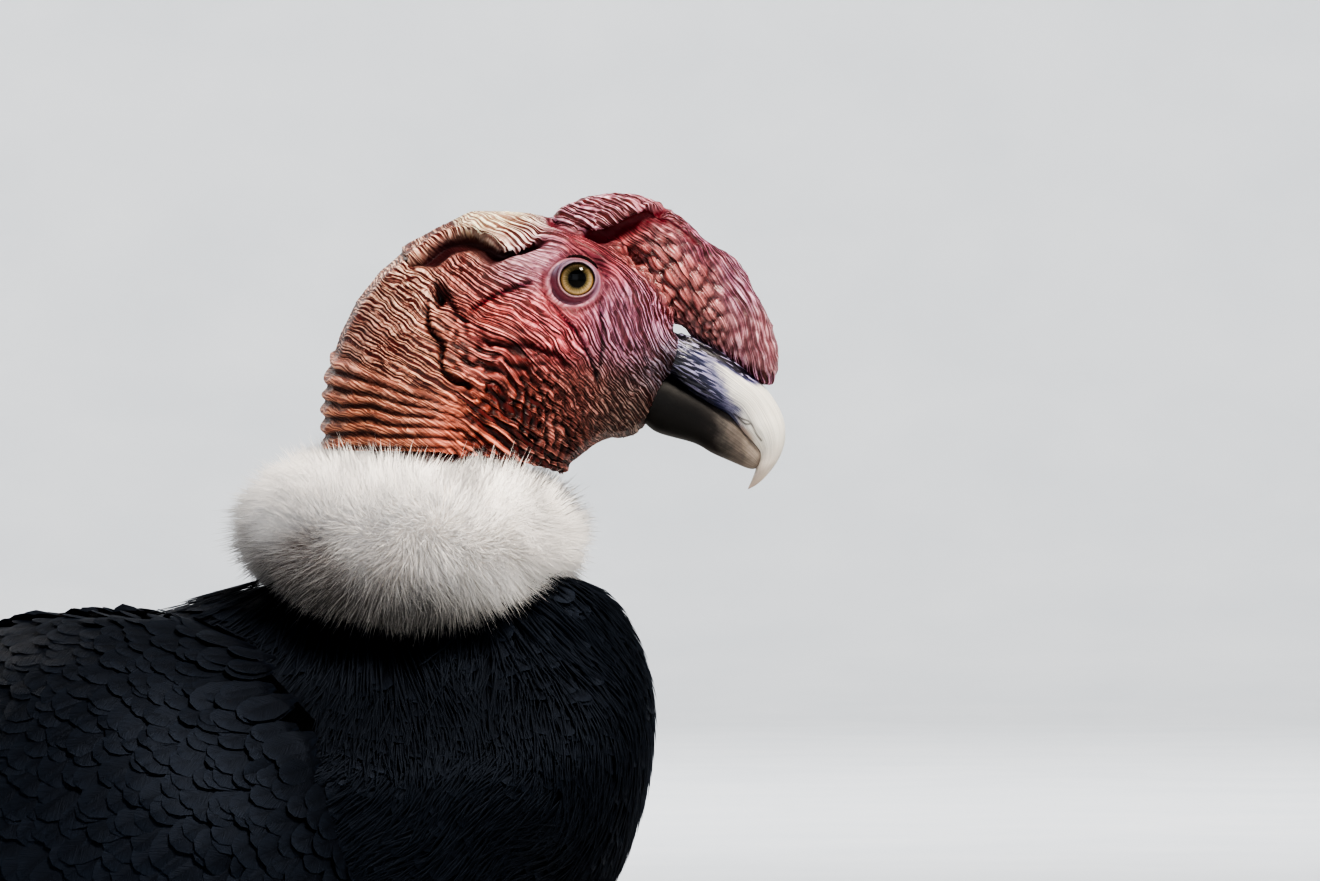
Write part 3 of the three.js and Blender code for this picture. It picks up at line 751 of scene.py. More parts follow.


# Bare bird skin: dry outside, wet-looking on the comb, with light spreading a millimetre into it. Wavy lines
# run over it, and tangled folds fill the cheek and the throat; their bottoms carry painted shade, dark
# blood-red, and their tops a pale painted highlight.
def living_skin():
    material, add = new_material("bare_skin")
    base = add("Attribute", attribute_name="flesh")
    lie = add("Attribute", attribute_name="lie")
    lined = add("Attribute", attribute_name="lined")
    tangled = add("Attribute", attribute_name="tangled")
    wet = add("Attribute", attribute_name="wet")
    drift = add("TexNoise", noise_dimensions="2D", Vector=(lie, "Vector"), Scale=0.35, Detail=1.0)
    wander = add(
        "VectorMath", operation="MULTIPLY_ADD", i0=(drift, "Color"), i1=(2.2, 2.2, 0.0), i2=(lie, "Vector"),
    )
    lines = add(
        "TexGabor", gabor_type="2D", Vector=wander, Scale=LINE_PATCH, Frequency=LINES_PER_PATCH,
        Anisotropy=0.64, i4=0.0,
    )
    stretch = add("Mapping", Vector=wander, Scale=(1.10, 0.50, 1.0))
    broken = add(
        "TexNoise", noise_dimensions="2D", Vector=stretch, Scale=1.0, Detail=2.0, Roughness=0.6,
        Distortion=0.4,
    )
    both = add("Mix", Factor=0.5, A=lines, B=broken)
    sharp = add("MapRange", interpolation_type="SMOOTHSTEP", Value=both, From_Min=0.445, From_Max=0.585)
    worms = add(
        "TexGabor", gabor_type="2D", Vector=wander, Scale=TANGLE_PATCH, Frequency=TANGLES_PER_PATCH,
        Anisotropy=0.2, i4=0.0,
    )
    worm_crest = add("MapRange", interpolation_type="SMOOTHSTEP", Value=worms, From_Min=0.34, From_Max=0.60)
    place = add("TexCoord")
    grain = add("TexNoise", Vector=(place, "Object"), Scale=900.0, Detail=3.0)
    blotch = add("TexNoise", Vector=(place, "Object"), Scale=70.0, Detail=4.0)
    line_height = add("Mix", Factor=(lined, "Fac"), A=0.62, B=sharp)
    worm_height = add("Mix", Factor=(tangled, "Fac"), A=1.0, B=worm_crest)
    relief = add("Math", operation="MULTIPLY", i0=line_height, i1=worm_height)
    # Painted shade in the bottoms of the lines and folds, a painted highlight on their tops.
    shade_highlight_ramp = add("ValToRGB", Fac=relief)
    stops = shade_highlight_ramp.color_ramp.elements
    stops[0].position, stops[0].color = 0.04, (*[value / 3 for value in SHADED], 1)
    stops[1].position, stops[1].color = 1.0, (*[value / 3 for value in HIGHLIT], 1)
    middle = stops.new(0.60)
    middle.color = (0.33, 0.31, 0.31, 1)
    mottle = add("MapRange", Value=blotch, From_Min=0.3, From_Max=0.7, To_Min=2.5, To_Max=3.45)
    lit = add("VectorMath", operation="MULTIPLY", i0=base, i1=shade_highlight_ramp)
    colour = add("VectorMath", operation="SCALE", i0=lit, Scale=mottle)
    worm_bump = add("Bump", Strength=1.0, Distance=0.0026, Height=worm_height)
    line_bump = add("Bump", Strength=1.0, Distance=0.0009, Height=relief, Normal=worm_bump)
    grain_bump = add("Bump", Strength=0.4, Distance=0.0003, Height=grain, Normal=line_bump)
    dry = add("MapRange", Value=grain, To_Min=0.40, To_Max=0.58)
    rough = add("Math", operation="MULTIPLY_ADD", i0=(wet, "Fac"), i1=-0.16, i2=dry)
    gloss = add("Math", operation="MULTIPLY_ADD", i0=(wet, "Fac"), i1=0.5, i2=0.36)
    shader = add(
        "BsdfPrincipled", Base_Color=colour, Roughness=rough, Normal=grain_bump, IOR=1.42,
        Specular_IOR_Level=gloss, Subsurface_Weight=0.12, Subsurface_Radius=(0.9, 0.35, 0.2),
        Subsurface_Scale=0.0016,
    )
    add("OutputMaterial", Surface=shader)
    return material


head_skin = smooth_object("skin", hide.mesh)
head_skin.data.materials.append(living_skin())
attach(head_skin, "root")
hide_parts("head", "neck", "comb")

# The eyelids: a thick edge with a pale bead round the opening, a smooth lid moulded over the ball, and a
# fine crease where it meets the face. The skin is cut finer round each eye to carry them.
OPENING = (7.5, 7.15)
LID_FINE = 2
LID_REACH = 15.5 * MM
# The crease colour is painted shade, for the lid's creases and the top of the lid under the brow.
LID_COLOURS = {
    "upper": "#86788a", "lower": "#84505c", "front": "#846678", "bead": "#e6cccc", "rim": "#cfa4b0",
    "crease": "#4e1020", "edge": "#140608",
}


def cut_finer(mesh, near, cuts):
    """Cuts the faces of a mesh that lie near some places into finer ones."""
    bm = bmesh.new()
    bm.from_mesh(mesh)
    faces = [face for face in bm.faces if near(face.calc_center_median())]
    edges = list({edge for face in faces for edge in face.edges})
    bmesh.ops.subdivide_edges(bm, edges=edges, cuts=cuts, use_grid_fill=True)
    bmesh.ops.triangulate(bm, faces=[face for face in bm.faces if len(face.verts) > 4])
    bm.to_mesh(mesh)
    bm.free()


def eye_middle(hand):
    return eye_at * [1, 0, 1] + [0, hand * abs(eye_at[1]), 0]


def beside_eye(place):
    away = [np.linalg.norm(np.array(place) - (COLLAR + eye_middle(hand) * MM)) for hand in (-1, 1)]
    return min(away) < LID_REACH


cut_finer(head_skin.data, beside_eye, LID_FINE)
points = places_of(head_skin.data)
paint = np.empty(len(points) * 4, np.float32)
head_skin.data.attributes["flesh"].data.foreach_get("color", paint)
paint = paint.reshape(-1, 4)
fine_step = HEAD_GRAIN / MM / (LID_FINE + 1) / OPENING[0]
for hand in (-1, 1):
    centre = eye_middle(hand)
    from_eye = points - centre
    near_eye = (points[:, 1] * hand > 12) & (np.linalg.norm(from_eye, axis=1) < 20)
    ahead = np.hypot(from_eye[:, 0] / OPENING[0], from_eye[:, 2] / OPENING[1])
    snap = near_eye & (np.abs(ahead - 1.0) < 0.6 * fine_step)
    pull_in = np.where(snap, 1.0 / np.maximum(ahead, 1e-6), 1.0)[:, None]
    pull_in = np.concatenate([pull_in, 1 + 0 * pull_in, pull_in], 1)
    points = np.where(near_eye[:, None], centre + from_eye * pull_in, points)
    from_eye = points - centre
    forward, up = from_eye[:, 0], from_eye[:, 2]
    ahead = np.hypot(forward / OPENING[0], up / OPENING[1])
    beyond = (ahead - 1) * OPENING[0]
    round_away = np.hypot(forward, up)
    turn = np.arctan2(up, forward)
    lid_away = from_lids(forward, up)
    behind = ease(-forward, -2, 6)
    creases = np.sin(beyond * 3.6 + 1.3 * np.sin(turn * 5)) * behind * ease(up, -2, 3)
    thick = LID_THICKNESS * ease(beyond, -0.2, 0.45) + 0.38 * bell((beyond - 0.60) / 0.26)
    thick = thick - 0.35 * bell((beyond - 1.65) / 0.30) + 0.14 * creases * ease(beyond, 1.5, 2.2)
    rim = bell((lid_away - 1.0) / 0.045)
    outer_crease = bell((lid_away - 1.09) / 0.05) * (0.5 + 0.5 * behind)
    lid_out = np.sqrt(np.maximum((EYE_RADIUS + thick) ** 2 - round_away**2, 9.0)) * hand + centre[1]
    outside = near_eye & (ahead >= 1 - 0.5 * fine_step)
    share = outside * ease(lid_away, 1.12, 0.86)
    points[:, 1] += share * (lid_out - points[:, 1])
    points[:, 1] += outside * hand * (0.45 * rim - 0.8 * outer_crease)
    inside = near_eye & ~outside
    deep = np.sqrt(np.maximum((EYE_RADIUS - 2.2) ** 2 - round_away**2, 1.0)) * hand + centre[1]
    points[inside, 1] = deep[inside]

    def lid_tint_or_shade(name, amount):
        colour = np.array(from_hex(LID_COLOURS[name]))
        paint[:] = paint + (colour - paint) * (np.clip(amount, 0, 1) * near_eye)[:, None]

    on_lid = ease(lid_away, 1.08, 0.96)
    lid_tint_or_shade("upper", on_lid)
    lid_tint_or_shade("lower", on_lid * ease(-up - 0.3 * forward, -1.5, 4))
    lid_tint_or_shade("front", on_lid * ease(forward, 4, 8) * 0.8)
    # Painted shade over the top of the lid under the brow, in the lid's creases and in the crease round it.
    lid_tint_or_shade("crease", 0.75 * on_lid * ease(up, 5.0, 8.5) * ease(forward, -6, 2))
    lid_tint_or_shade("crease", 0.55 * np.maximum(creases, 0) * on_lid + 0.5 * bell((beyond - 1.65) / 0.35))
    lid_tint_or_shade("crease", 0.8 * outer_crease)
    lid_tint_or_shade("rim", 0.9 * rim * (0.15 + 0.85 * ease(-forward - up, -7, 7)))
    lid_tint_or_shade("bead", 0.9 * bell((beyond - 0.70) / 0.24) * (0.15 + 0.85 * ease(-up - 0.5 * forward, -3, 5)))
    lid_tint_or_shade("edge", ease(beyond, 0.35, 0.0))
head_skin.data.attributes["flesh"].data.foreach_set("color", paint.ravel())
shape_points(head_skin.data, points)

# The eyes: a wet ball in each socket, with a clear bulging front over an amber-olive iris and a round black
# pupil. Museum eyes are glass, painted from behind, and the gloss of the coat gives that depth.
BALL_RADIUS = 11.3
FRONT_RADIUS = 8.7
FRONT_RISE = 0.8
PUPIL_RADIUS = 3.75


# Glass eye: deep gold-olive, streaked outwards from the pupil, dark at both rims and darker above with
# painted shade, as under a lid, with a wet clear coat.
def glass_eye():
    material, add = new_material("glass_eye")
    front = add("Attribute", attribute_name="front")
    away = add("VectorMath", operation="LENGTH", i0=(front, "Vector"))
    outward = add("VectorMath", operation="NORMALIZE", i0=(front, "Vector"))
    streak = add("TexNoise", Vector=outward, Scale=14.0, Detail=4.0, Roughness=0.7)
    wobble = add("MapRange", Value=streak, From_Min=0.3, From_Max=0.7, To_Min=-0.35, To_Max=0.35)
    shifted = add("Math", i0=(away, "Value"), i1=wobble)
    share = add("MapRange", Value=shifted, From_Max=8.0)
    rings = add(
        "ValToRGB", Fac=share,
        stops=[
            (0.46, "#1c160e"), (0.52, "#5c5236"), (0.62, "#948256"), (0.76, "#cdb284"), (0.86, "#b28a54"),
            (0.91, "#4c321c"), (0.95, "#120a06"),
        ],
    )
    pupil = add(
        "MapRange", interpolation_type="SMOOTHSTEP", Value=(away, "Value"), From_Min=PUPIL_RADIUS - 0.12,
        From_Max=PUPIL_RADIUS + 0.12,
    )
    depth = add("MapRange", Value=streak, From_Min=0.3, From_Max=0.7, To_Min=0.45, To_Max=1.35)
    tone = add("Math", operation="MULTIPLY", i0=pupil, i1=depth)
    colour = add("VectorMath", operation="SCALE", i0=rings, Scale=tone)
    heights = add("SeparateXYZ", Vector=(front, "Vector"))
    # Painted shade over the top of the iris, as under the lid.
    lid_shade = add("MapRange", Value=(heights, "Y"), From_Min=-5.0, From_Max=4.6, To_Min=1.12, To_Max=0.10)
    shaded = add("VectorMath", operation="SCALE", i0=colour, Scale=lid_shade)
    shader = add(
        "BsdfPrincipled", Base_Color=shaded, Roughness=0.5, Specular_IOR_Level=0.0, Coat_Weight=1.0,
        Coat_Roughness=0.012, Coat_IOR=1.27,
    )
    add("OutputMaterial", Surface=shader)
    return material


eye_glass = glass_eye()
for name, hand in (("eye_right", -1), ("eye_left", 1)):
    bm = bmesh.new()
    bmesh.ops.create_uvsphere(bm, u_segments=64, v_segments=48, radius=1.0)
    ball = object_from(bm, "glass_" + name)
    sphere = points_of(ball.data)
    forward, up, out = sphere[:, 0], sphere[:, 1], sphere[:, 2]
    ring = np.hypot(forward, up) * BALL_RADIUS
    front_out = BALL_RADIUS + FRONT_RISE - FRONT_RADIUS + np.sqrt(np.maximum(FRONT_RADIUS**2 - ring**2, 0))
    out = out * BALL_RADIUS
    out = np.where((out > 0) & (ring < FRONT_RADIUS), np.maximum(out, front_out), out)
    place = np.stack([forward * BALL_RADIUS, hand * out, up * BALL_RADIUS], 1)
    centre = eye_middle(hand)
    shape_points(ball.data, place + centre)
    if hand < 0:
        ball.data.flip_normals()
    front = np.stack([place[:, 0], place[:, 2], np.where(place[:, 1] * hand > 0, 0, 20)], 1)
    put_attribute(ball.data, "front", front)
    ball.data.materials.append(eye_glass)
    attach(ball, "root")
    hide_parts(name)

# The bill: horn over bone. The upper half has a wrinkled indigo cere at its base and ends in a thick ivory
# hook that closes over the dark lower half. Both are drawn between curves of their upper and lower edges.
UPPER_RIDGE = [
    (102, 96), (112, 94), (123, 92), (132, 87.6), (141, 82.4), (152.5, 72.0), (159.3, 63.5), (163.2, 55),
    (163.7, 46), (161, 38), (156, 31), (151.5, 26.8), (147.2, 24.4),
]
UPPER_EDGE = [
    (100, 76), (108.7, 77.4), (116.6, 70), (123, 64.4), (131.6, 59.6), (137.6, 57.4), (140.6, 54),
    (143.6, 49), (148.2, 44.6), (151.2, 40), (150.9, 34), (149.0, 28.6), (147.2, 24.4),
]
CHIP_UPPER = [(141.2, 57.6), (144.6, 55.6), (147.6, 54.4), (149.4, 52.0), (151.2, 48.6), (153.2, 46.0)]
CHIP_LOWER = [(143.0, 56.2), (146.0, 53.4), (148.6, 53.2), (149.4, 52.0)]
LOWER_TOP = [(92, 66), (106, 77), (120, 72), (134, 62.5), (146, 52), (153.2, 43), (153.4, 36)]
LOWER_EDGE = [
    (92, 62), (101.5, 54), (108.2, 49.3), (123.6, 44.9), (131.6, 40.5), (139.5, 37), (148, 33.6),
    (152.6, 34.2),
]


def rail(*points):
    """A function that gives the place so many shares of the way along a smooth curve."""
    line = smooth_line(points)
    run = np.concatenate([[0], np.cumsum(np.linalg.norm(np.diff(line, axis=0), axis=1))])

    def at(share):
        share = np.clip(share, 0, 1) * run[-1]
        return np.stack([np.interp(share, run, line[:, axis]) for axis in range(line.shape[1])], -1)

    return at


def between(*stops):
    """A size that changes smoothly along a body, from (share, size) stops."""
    where, size = np.array(stops, float).T

    def at(share):
        spot = np.clip(np.searchsorted(where, share) - 1, 0, len(where) - 2)
        t = np.clip((share - where[spot]) / (where[spot + 1] - where[spot]), 0, 1)
        return size[spot] + (size[spot + 1] - size[spot]) * t * t * (3 - 2 * t)

    return at


def moulded(name, lengthwise, around, form):
    """A ball pressed into a body: `form` turns (share along, up, side) into places in millimetres."""
    bm = bmesh.new()
    bmesh.ops.create_uvsphere(bm, u_segments=around, v_segments=lengthwise, radius=1.0)
    body = object_from(bm, name)
    unit = points_of(body.data)
    share = np.arccos(np.clip(unit[:, 2], -1, 1)) / math.pi
    ring = np.maximum(np.hypot(unit[:, 0], unit[:, 1]), 1e-9)
    pole = ring < 1e-6
    up = np.where(pole, 0, unit[:, 0] / ring)
    side = np.where(pole, 0, unit[:, 1] / ring)
    shape_points(body.data, form(share, up, side))
    bm = bmesh.new()
    bm.from_mesh(body.data)
    bmesh.ops.recalc_face_normals(bm, faces=bm.faces)
    bm.to_mesh(body.data)
    bm.free()
    put_attribute(body.data, "share", np.stack([share, up, side], 1))
    return body


def two_edges(top, bottom, half_width, share, up, side, fullness=1.0):
    """Places on an oval body between a top and a bottom curve of the middle plane."""
    low, high = bottom(share), top(share)
    middle = low + (high - low) * ((1 + np.sign(up) * np.abs(up) ** fullness) / 2)[..., None]
    across = half_width(share) * np.sign(side) * np.abs(side) ** fullness
    return np.stack([middle[..., 0], across, middle[..., 1]], -1)


def upper_bill_form(share, up, side):
    place = two_edges(
        rail(*UPPER_RIDGE), rail(*UPPER_EDGE),
        between((0, 14), (0.2, 15), (0.45, 13), (0.65, 10.5), (0.85, 5.5), (1, 0.6)), share, up, side, 0.94,
    )
    cere = ease(136 - place[:, 0] - 0.2 * (place[:, 2] - 70), -2, 9)
    low_edge = bell((up + 0.72) / 0.22)
    tooth = bell((share - 0.60) / 0.055) * low_edge
    notch = bell((share - 0.50) / 0.04) * low_edge
    crease = bell((up + 0.34 - 1.2 * (share - 0.62)) / 0.045)
    crease = crease * ease(share, 0.56, 0.61) * ease(share, 0.74, 0.68)
    ahead, high = place[:, 0], place[:, 2]
    wave = np.sin(high * 2.9 + ahead * 1.5 + 1.4 * np.sin(ahead * 0.7 + high * 0.4))
    growth = np.sin(up * 46 + 3 * np.sin(share * 9)) * ease(up, 0.1, 0.6) * (1 - cere)
    out = 0.38 * cere * wave + 0.9 * tooth - 0.7 * notch - 0.5 * crease + 0.07 * growth
    place[:, 1] += out * np.sign(side) * np.abs(side) ** 0.5
    place[:, 2] += 0.3 * cere * wave * ease(up, 0.2, 0.9)
    return place


def lower_bill_form(share, up, side):
    return two_edges(
        rail(*LOWER_TOP), rail(*LOWER_EDGE), between((0, 12), (0.3, 12.8), (0.7, 10.2), (0.92, 7), (1, 2.6)),
        share, up, side, 0.9,
    )


# Horn of the bill: semi-gloss, with growth lines along the ridge, indigo at the base and ivory on the hook,
# and a painted pale lilac sheen on the cere's upper folds.
def bill_horn():
    material, add = new_material("bill_horn")
    place = add("TexCoord")
    spot = add(
        "Mapping", Vector=(place, "Object"), Location=tuple(-COLLAR * 1000), Scale=(1000, 1000, 1000),
    )
    axes = add("SeparateXYZ", Vector=spot)
    along = add("Attribute", attribute_name="share")
    parts = add("SeparateXYZ", Vector=(along, "Vector"))
    cloud = add("TexNoise", Vector=spot, Scale=0.16, Detail=4.0, Roughness=0.6)
    line_place = add("Mapping", Vector=(along, "Vector"), Scale=(4.0, 26.0, 26.0))
    lines = add("TexNoise", Vector=line_place, Scale=1.0, Detail=3.0, Distortion=0.6)
    fold_place = add(
        "Mapping", vector_type="TEXTURE", Vector=spot, Rotation=(0.0, math.radians(28), 0.0),
        Scale=(8.0, 4.0, 0.9),
    )
    folds = add("TexNoise", Vector=fold_place, Scale=1.0, Detail=2.0, Distortion=0.7)
    raised = add("Math", operation="MAXIMUM", i0=(axes, "Z"), i1=58.0)
    slanted = add("Math", operation="MULTIPLY_ADD", i0=raised, i1=0.50, i2=axes)
    # Along the top under the comb the cere's indigo reaches further forward: painted shade of the comb.
    ridge = add(
        "MapRange", interpolation_type="SMOOTHSTEP", Value=(parts, "Y"), From_Min=0.45, From_Max=0.80,
        To_Max=-30.0,
    )
    covered = add("MapRange", Value=(axes, "Z"), From_Min=66.0, From_Max=76.0)
    slant = add("Math", operation="MULTIPLY_ADD", i0=ridge, i1=covered, i2=slanted)
    torn = add("Math", operation="MULTIPLY_ADD", i0=cloud, i1=9.0, i2=slant)
    line_torn = add("Math", operation="MULTIPLY_ADD", i0=lines, i1=10.0, i2=torn)
    border = add("MapRange", Value=line_torn, From_Min=165.0, From_Max=189.0)
    base = add(
        "ValToRGB", Fac=border,
        stops=[
            (0.0, "#0d0c18"), (0.30, "#171832"), (0.52, "#2a2d50"), (0.64, "#74748e"), (0.74, "#b4b0b2"),
            (0.84, "#d6d3cc"), (1.0, "#dedad0"),
        ],
    )
    # Painted sheen: pale lilac on the crests of the cere's folds, on its upper part only, where the light
    # falls.
    fold_crest = add("MapRange", interpolation_type="SMOOTHSTEP", Value=folds, From_Min=0.53, From_Max=0.61)
    cere = add("MapRange", Value=border, From_Min=0.72, From_Max=0.45)
    above = add("MapRange", Value=(parts, "Y"), From_Min=-0.85, From_Max=-0.15)
    sheen = add("Math", operation="MULTIPLY", i0=fold_crest, i1=cere)
    sheen_high = add("Math", operation="MULTIPLY", i0=sheen, i1=above)
    with_painted_sheen = add("Mix", data_type="RGBA", i0=sheen_high, i6=base, i7=from_hex("#a8a2c2"))
    streaks = add("MapRange", Value=lines, From_Min=0.36, From_Max=0.62, To_Min=0.78, To_Max=1.08)
    colour = add("VectorMath", operation="SCALE", i0=(with_painted_sheen, "Result"), Scale=streaks)
    chipped = add("Attribute", attribute_name="chipped")
    chips = add("SeparateXYZ", Vector=(chipped, "Vector"))
    tip = add("MapRange", Value=(axes, "Z"), From_Min=46.0, From_Max=26.0, To_Max=0.75)
    tanned = add("Math", operation="MAXIMUM", i0=(chips, "Y"), i1=tip)
    warm = add("Mix", data_type="RGBA", i0=tanned, i6=colour, i7=from_hex("#9c8272"))
    cracked = add("Mix", data_type="RGBA", i0=chips, i6=(warm, "Result"), i7=from_hex("#1d1412"))
    height = add("Math", operation="MULTIPLY_ADD", i0=sheen, i1=2.0, i2=lines)
    bump = add("Bump", Strength=0.5, Distance=0.0004, Height=height)
    rough = add("MapRange", Value=lines, To_Min=0.22, To_Max=0.40)
    shader = add(
        "BsdfPrincipled", Base_Color=(cracked, "Result"), Roughness=rough, Normal=bump, IOR=1.54,
        Subsurface_Weight=0.08, Subsurface_Radius=(1.0, 0.8, 0.6), Subsurface_Scale=0.001,
    )
    add("OutputMaterial", Surface=shader)
    return material


# Dark horn of the lower half: black at the root, worn to a warm grey at the tip.
def dark_bill_horn():
    material, add = new_material("dark_bill_horn")
    place = add("TexCoord")
    spot = add(
        "Mapping", Vector=(place, "Object"), Location=tuple(-COLLAR * 1000), Scale=(1000, 1000, 1000),
    )
    axes = add("SeparateXYZ", Vector=spot)
    cloud = add("TexNoise", Vector=spot, Scale=0.22, Detail=5.0, Roughness=0.6)
    along = add("Attribute", attribute_name="share")
    line_place = add("Mapping", Vector=(along, "Vector"), Scale=(3.0, 16.0, 16.0))
    lines = add("TexNoise", Vector=line_place, Scale=1.0, Detail=3.0)
    torn = add("Math", operation="MULTIPLY_ADD", i0=cloud, i1=16.0, i2=axes)
    border = add("MapRange", Value=torn, From_Min=122.0, From_Max=158.0)
    base = add(
        "ValToRGB", Fac=border,
        stops=[
            (0.0, "#080605"), (0.34, "#0c0909"), (0.48, "#1a1514"), (0.64, "#443f3b"), (0.84, "#635a53"),
            (1.0, "#80756b"),
        ],
    )
    streaks = add("MapRange", Value=lines, From_Min=0.36, From_Max=0.62, To_Min=0.75, To_Max=1.1)
    colour = add("VectorMath", operation="SCALE", i0=base, Scale=streaks)
    bump = add("Bump", Strength=0.5, Distance=0.0004, Height=cloud)
    rough = add("MapRange", Value=cloud, To_Min=0.45, To_Max=0.65)
    shader = add(
        "BsdfPrincipled", Base_Color=colour, Roughness=rough, Normal=bump, IOR=1.45, Specular_IOR_Level=0.3,
    )
    add("OutputMaterial", Surface=shader)
    return material


upper_bill = moulded("upper_bill", 170, 112, upper_bill_form)
bill_side = places_of(upper_bill.data)[:, [0, 2]]
crack_away = np.minimum(off_line(bill_side, CHIP_UPPER)[0], off_line(bill_side, CHIP_LOWER)[0])
ahead, high = (bill_side - [145.5, 49.0]).T
tooth_away = np.hypot(ahead / 5.0, (high + 0.6 * ahead) / 3.4)
chips = np.stack([0.9 * bell(crack_away / 0.42), 0.7 * ease(tooth_away, 1.3, 0.4), 0 * crack_away], 1)
put_attribute(upper_bill.data, "chipped", chips)
upper_bill.data.materials.append(bill_horn())
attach(upper_bill, "root")
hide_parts("bill_upper")

lower_bill = moulded("lower_bill", 72, 64, lower_bill_form)
lower_bill.data.materials.append(dark_bill_horn())
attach(lower_bill, "root")
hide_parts("bill_lower")

# The skin goes on under the feathers. The trunk and thighs are a plain shell, a coat's depth inside the
# feathers' tips. The shanks and toes are bare: grey, with small net-like scales, and plates on the toes.
TRUNK_TOP = [
    (52, -8), (20, 6), (-30, 0), (-85, -20), (-160, -50), (-235, -100), (-300, -162), (-352, -222),
    (-395, -280),
]
TRUNK_UNDER = [
    (52, -8), (84, -20), (101, -48), (106, -78), (100, -118), (84, -156), (52, -206), (0, -254), (-75, -294),
    (-165, -316), (-250, -322), (-325, -314), (-395, -294),
]
TRUNK_HALF_WIDTH = 118.0
SHOULDER = {"low": -105, "high": -38, "back": -170, "front": -70, "narrowing": 0.42}
FOOT_BACK = -146.0
FEET_APART = 156.0
FOOT_HEIGHT = 34
FLOOR_LEVEL = -COLLAR[2] / MM
TRUNK_COAT = 9.0
LEG_GRAIN = 2.0 * MM
trunk_top, trunk_under = rail(*TRUNK_TOP), rail(*TRUNK_UNDER)


def unit(vectors):
    return vectors / np.maximum(np.linalg.norm(vectors, axis=-1, keepdims=True), 1e-9)


def trunk_width(share):
    return TRUNK_HALF_WIDTH * np.sin(math.pi * np.clip(share * 0.88 + 0.05, 0, 1)) ** 0.62


def trunk_form(share, up, side, inset=0.0):
    """The outline of the feathered trunk, from the breast back to the vent, or a shell inside it."""
    place = two_edges(trunk_top, trunk_under, trunk_width, share, up, side, 0.92)
    height = ease(place[..., 2], SHOULDER["low"], SHOULDER["high"])
    near_neck = ease(place[..., 0], SHOULDER["back"], SHOULDER["front"])
    place[..., 1] = place[..., 1] * (1 - SHOULDER["narrowing"] * height * near_neck)
    middle = trunk_middle(share)
    off = place - middle
    reach = np.maximum(np.linalg.norm(off, axis=-1, keepdims=True), 1e-6)
    return middle + off * np.maximum(1 - inset / reach, 0.05)


def trunk_middle(share, angle=0.0):
    middle = (trunk_top(share) + trunk_under(share)) / 2
    return np.stack([middle[..., 0], 0 * middle[..., 0], middle[..., 1]], -1)


def limb_form(path, radius, flat=1.0):
    """The form of a round limb along a curve. It takes the share of the way and the place in the section."""

    def form(share, up, side, inset=0.0):
        heading = unit(path(share + 0.01) - path(share - 0.01))
        sideways = np.stack([-heading[..., 1], heading[..., 0], 0 * heading[..., 0]], -1)
        upright = np.linalg.norm(sideways, axis=-1, keepdims=True) < 0.05
        sideways = unit(np.where(upright, [0.0, 1.0, 0.0], sideways))
        upwards = unit(np.cross(heading, sideways))
        size = np.maximum(radius(share) - inset, 0.5)
        return path(share) + sideways * (side * size)[..., None] + upwards * (up * size * flat)[..., None]

    return form


def leg_path(hand):
    return rail(
        (-92, hand * 46, -226), (-108, hand * 58, -268), (-130, hand * 70, -330), (-152, hand * 77, -392),
        (-166, hand * 78, FLOOR_LEVEL + 144),
    )


thigh_radius = between((0, 24), (0.25, 45), (0.5, 45), (0.75, 31), (0.92, 20), (1, 15))
TOES = {"inner": (-0.46, 68), "middle": (0.06, 102), "outer": (0.52, 74), "hind": (math.pi + 0.3, 34)}
CLAW_LENGTH = 26.0
LEG_NODES = [
    name.replace("SIDE", side)
    for side in ("right", "left")
    for name in ("shank_SIDE", *(f"toe_SIDE_{toe}" for toe in TOES))
]


def joined_into(first, *others):
    """Joins other objects' meshes into the first object's."""
    with bpy.context.temp_override(active_object=first, selected_editable_objects=[first, *others]):
        bpy.ops.object.join()


def skin_shell(name, lengthwise, around, form, colour):
    """A plain closed shell of skin with the attributes that the head's skin has."""
    shell = moulded(name, lengthwise, around, form)
    tell_skin(shell.data, rgb(colour), places_of(shell.data), 0.5, 0, -0.7)
    shell.data.materials.append(head_skin.data.materials[0])
    return shell


# Leg skin: dry and horny, dark grey, each small scale paler on its crown than in the creases round it.
def leg_scales():
    material, add = new_material("leg_scales")
    place = add("TexCoord")
    wobble = add("TexNoise", Vector=(place, "Object"), Scale=60.0, Detail=2.0)
    bent = add(
        "VectorMath", operation="MULTIPLY_ADD", i0=(wobble, "Color"), i1=(0.006, 0.006, 0.006),
        i2=(place, "Object"),
    )
    cells = add("TexVoronoi", feature="DISTANCE_TO_EDGE", Vector=bent, Scale=250.0)
    tints = add("TexVoronoi", Vector=bent, Scale=250.0)
    tint_parts = add("SeparateXYZ", Vector=(tints, "Color"))
    dome = add("MapRange", interpolation_type="SMOOTHSTEP", Value=cells, From_Max=0.16)
    base = add("ValToRGB", Fac=dome, stops=[(0.0, "#2a2524"), (0.35, "#5b5552"), (1.0, "#8b857f")])
    each = add("MapRange", Value=tint_parts, To_Min=0.72, To_Max=1.12)
    dirt = add("TexNoise", Vector=(place, "Object"), Scale=24.0, Detail=5.0)
    soiled = add("MapRange", Value=dirt, From_Min=0.35, From_Max=0.65, To_Min=0.65, To_Max=1.1)
    tone = add("Math", operation="MULTIPLY", i0=each, i1=soiled)
    plates = add("Attribute", attribute_name="flesh")
    dulled = add("VectorMath", operation="MULTIPLY", i0=base, i1=plates)
    colour = add("VectorMath", operation="SCALE", i0=dulled, Scale=tone)
    bump = add("Bump", Strength=0.8, Distance=0.0007, Height=dome)
    shader = add("BsdfPrincipled", Base_Color=colour, Roughness=0.55, Normal=bump, IOR=1.5)
    add("OutputMaterial", Surface=shader)
    return material


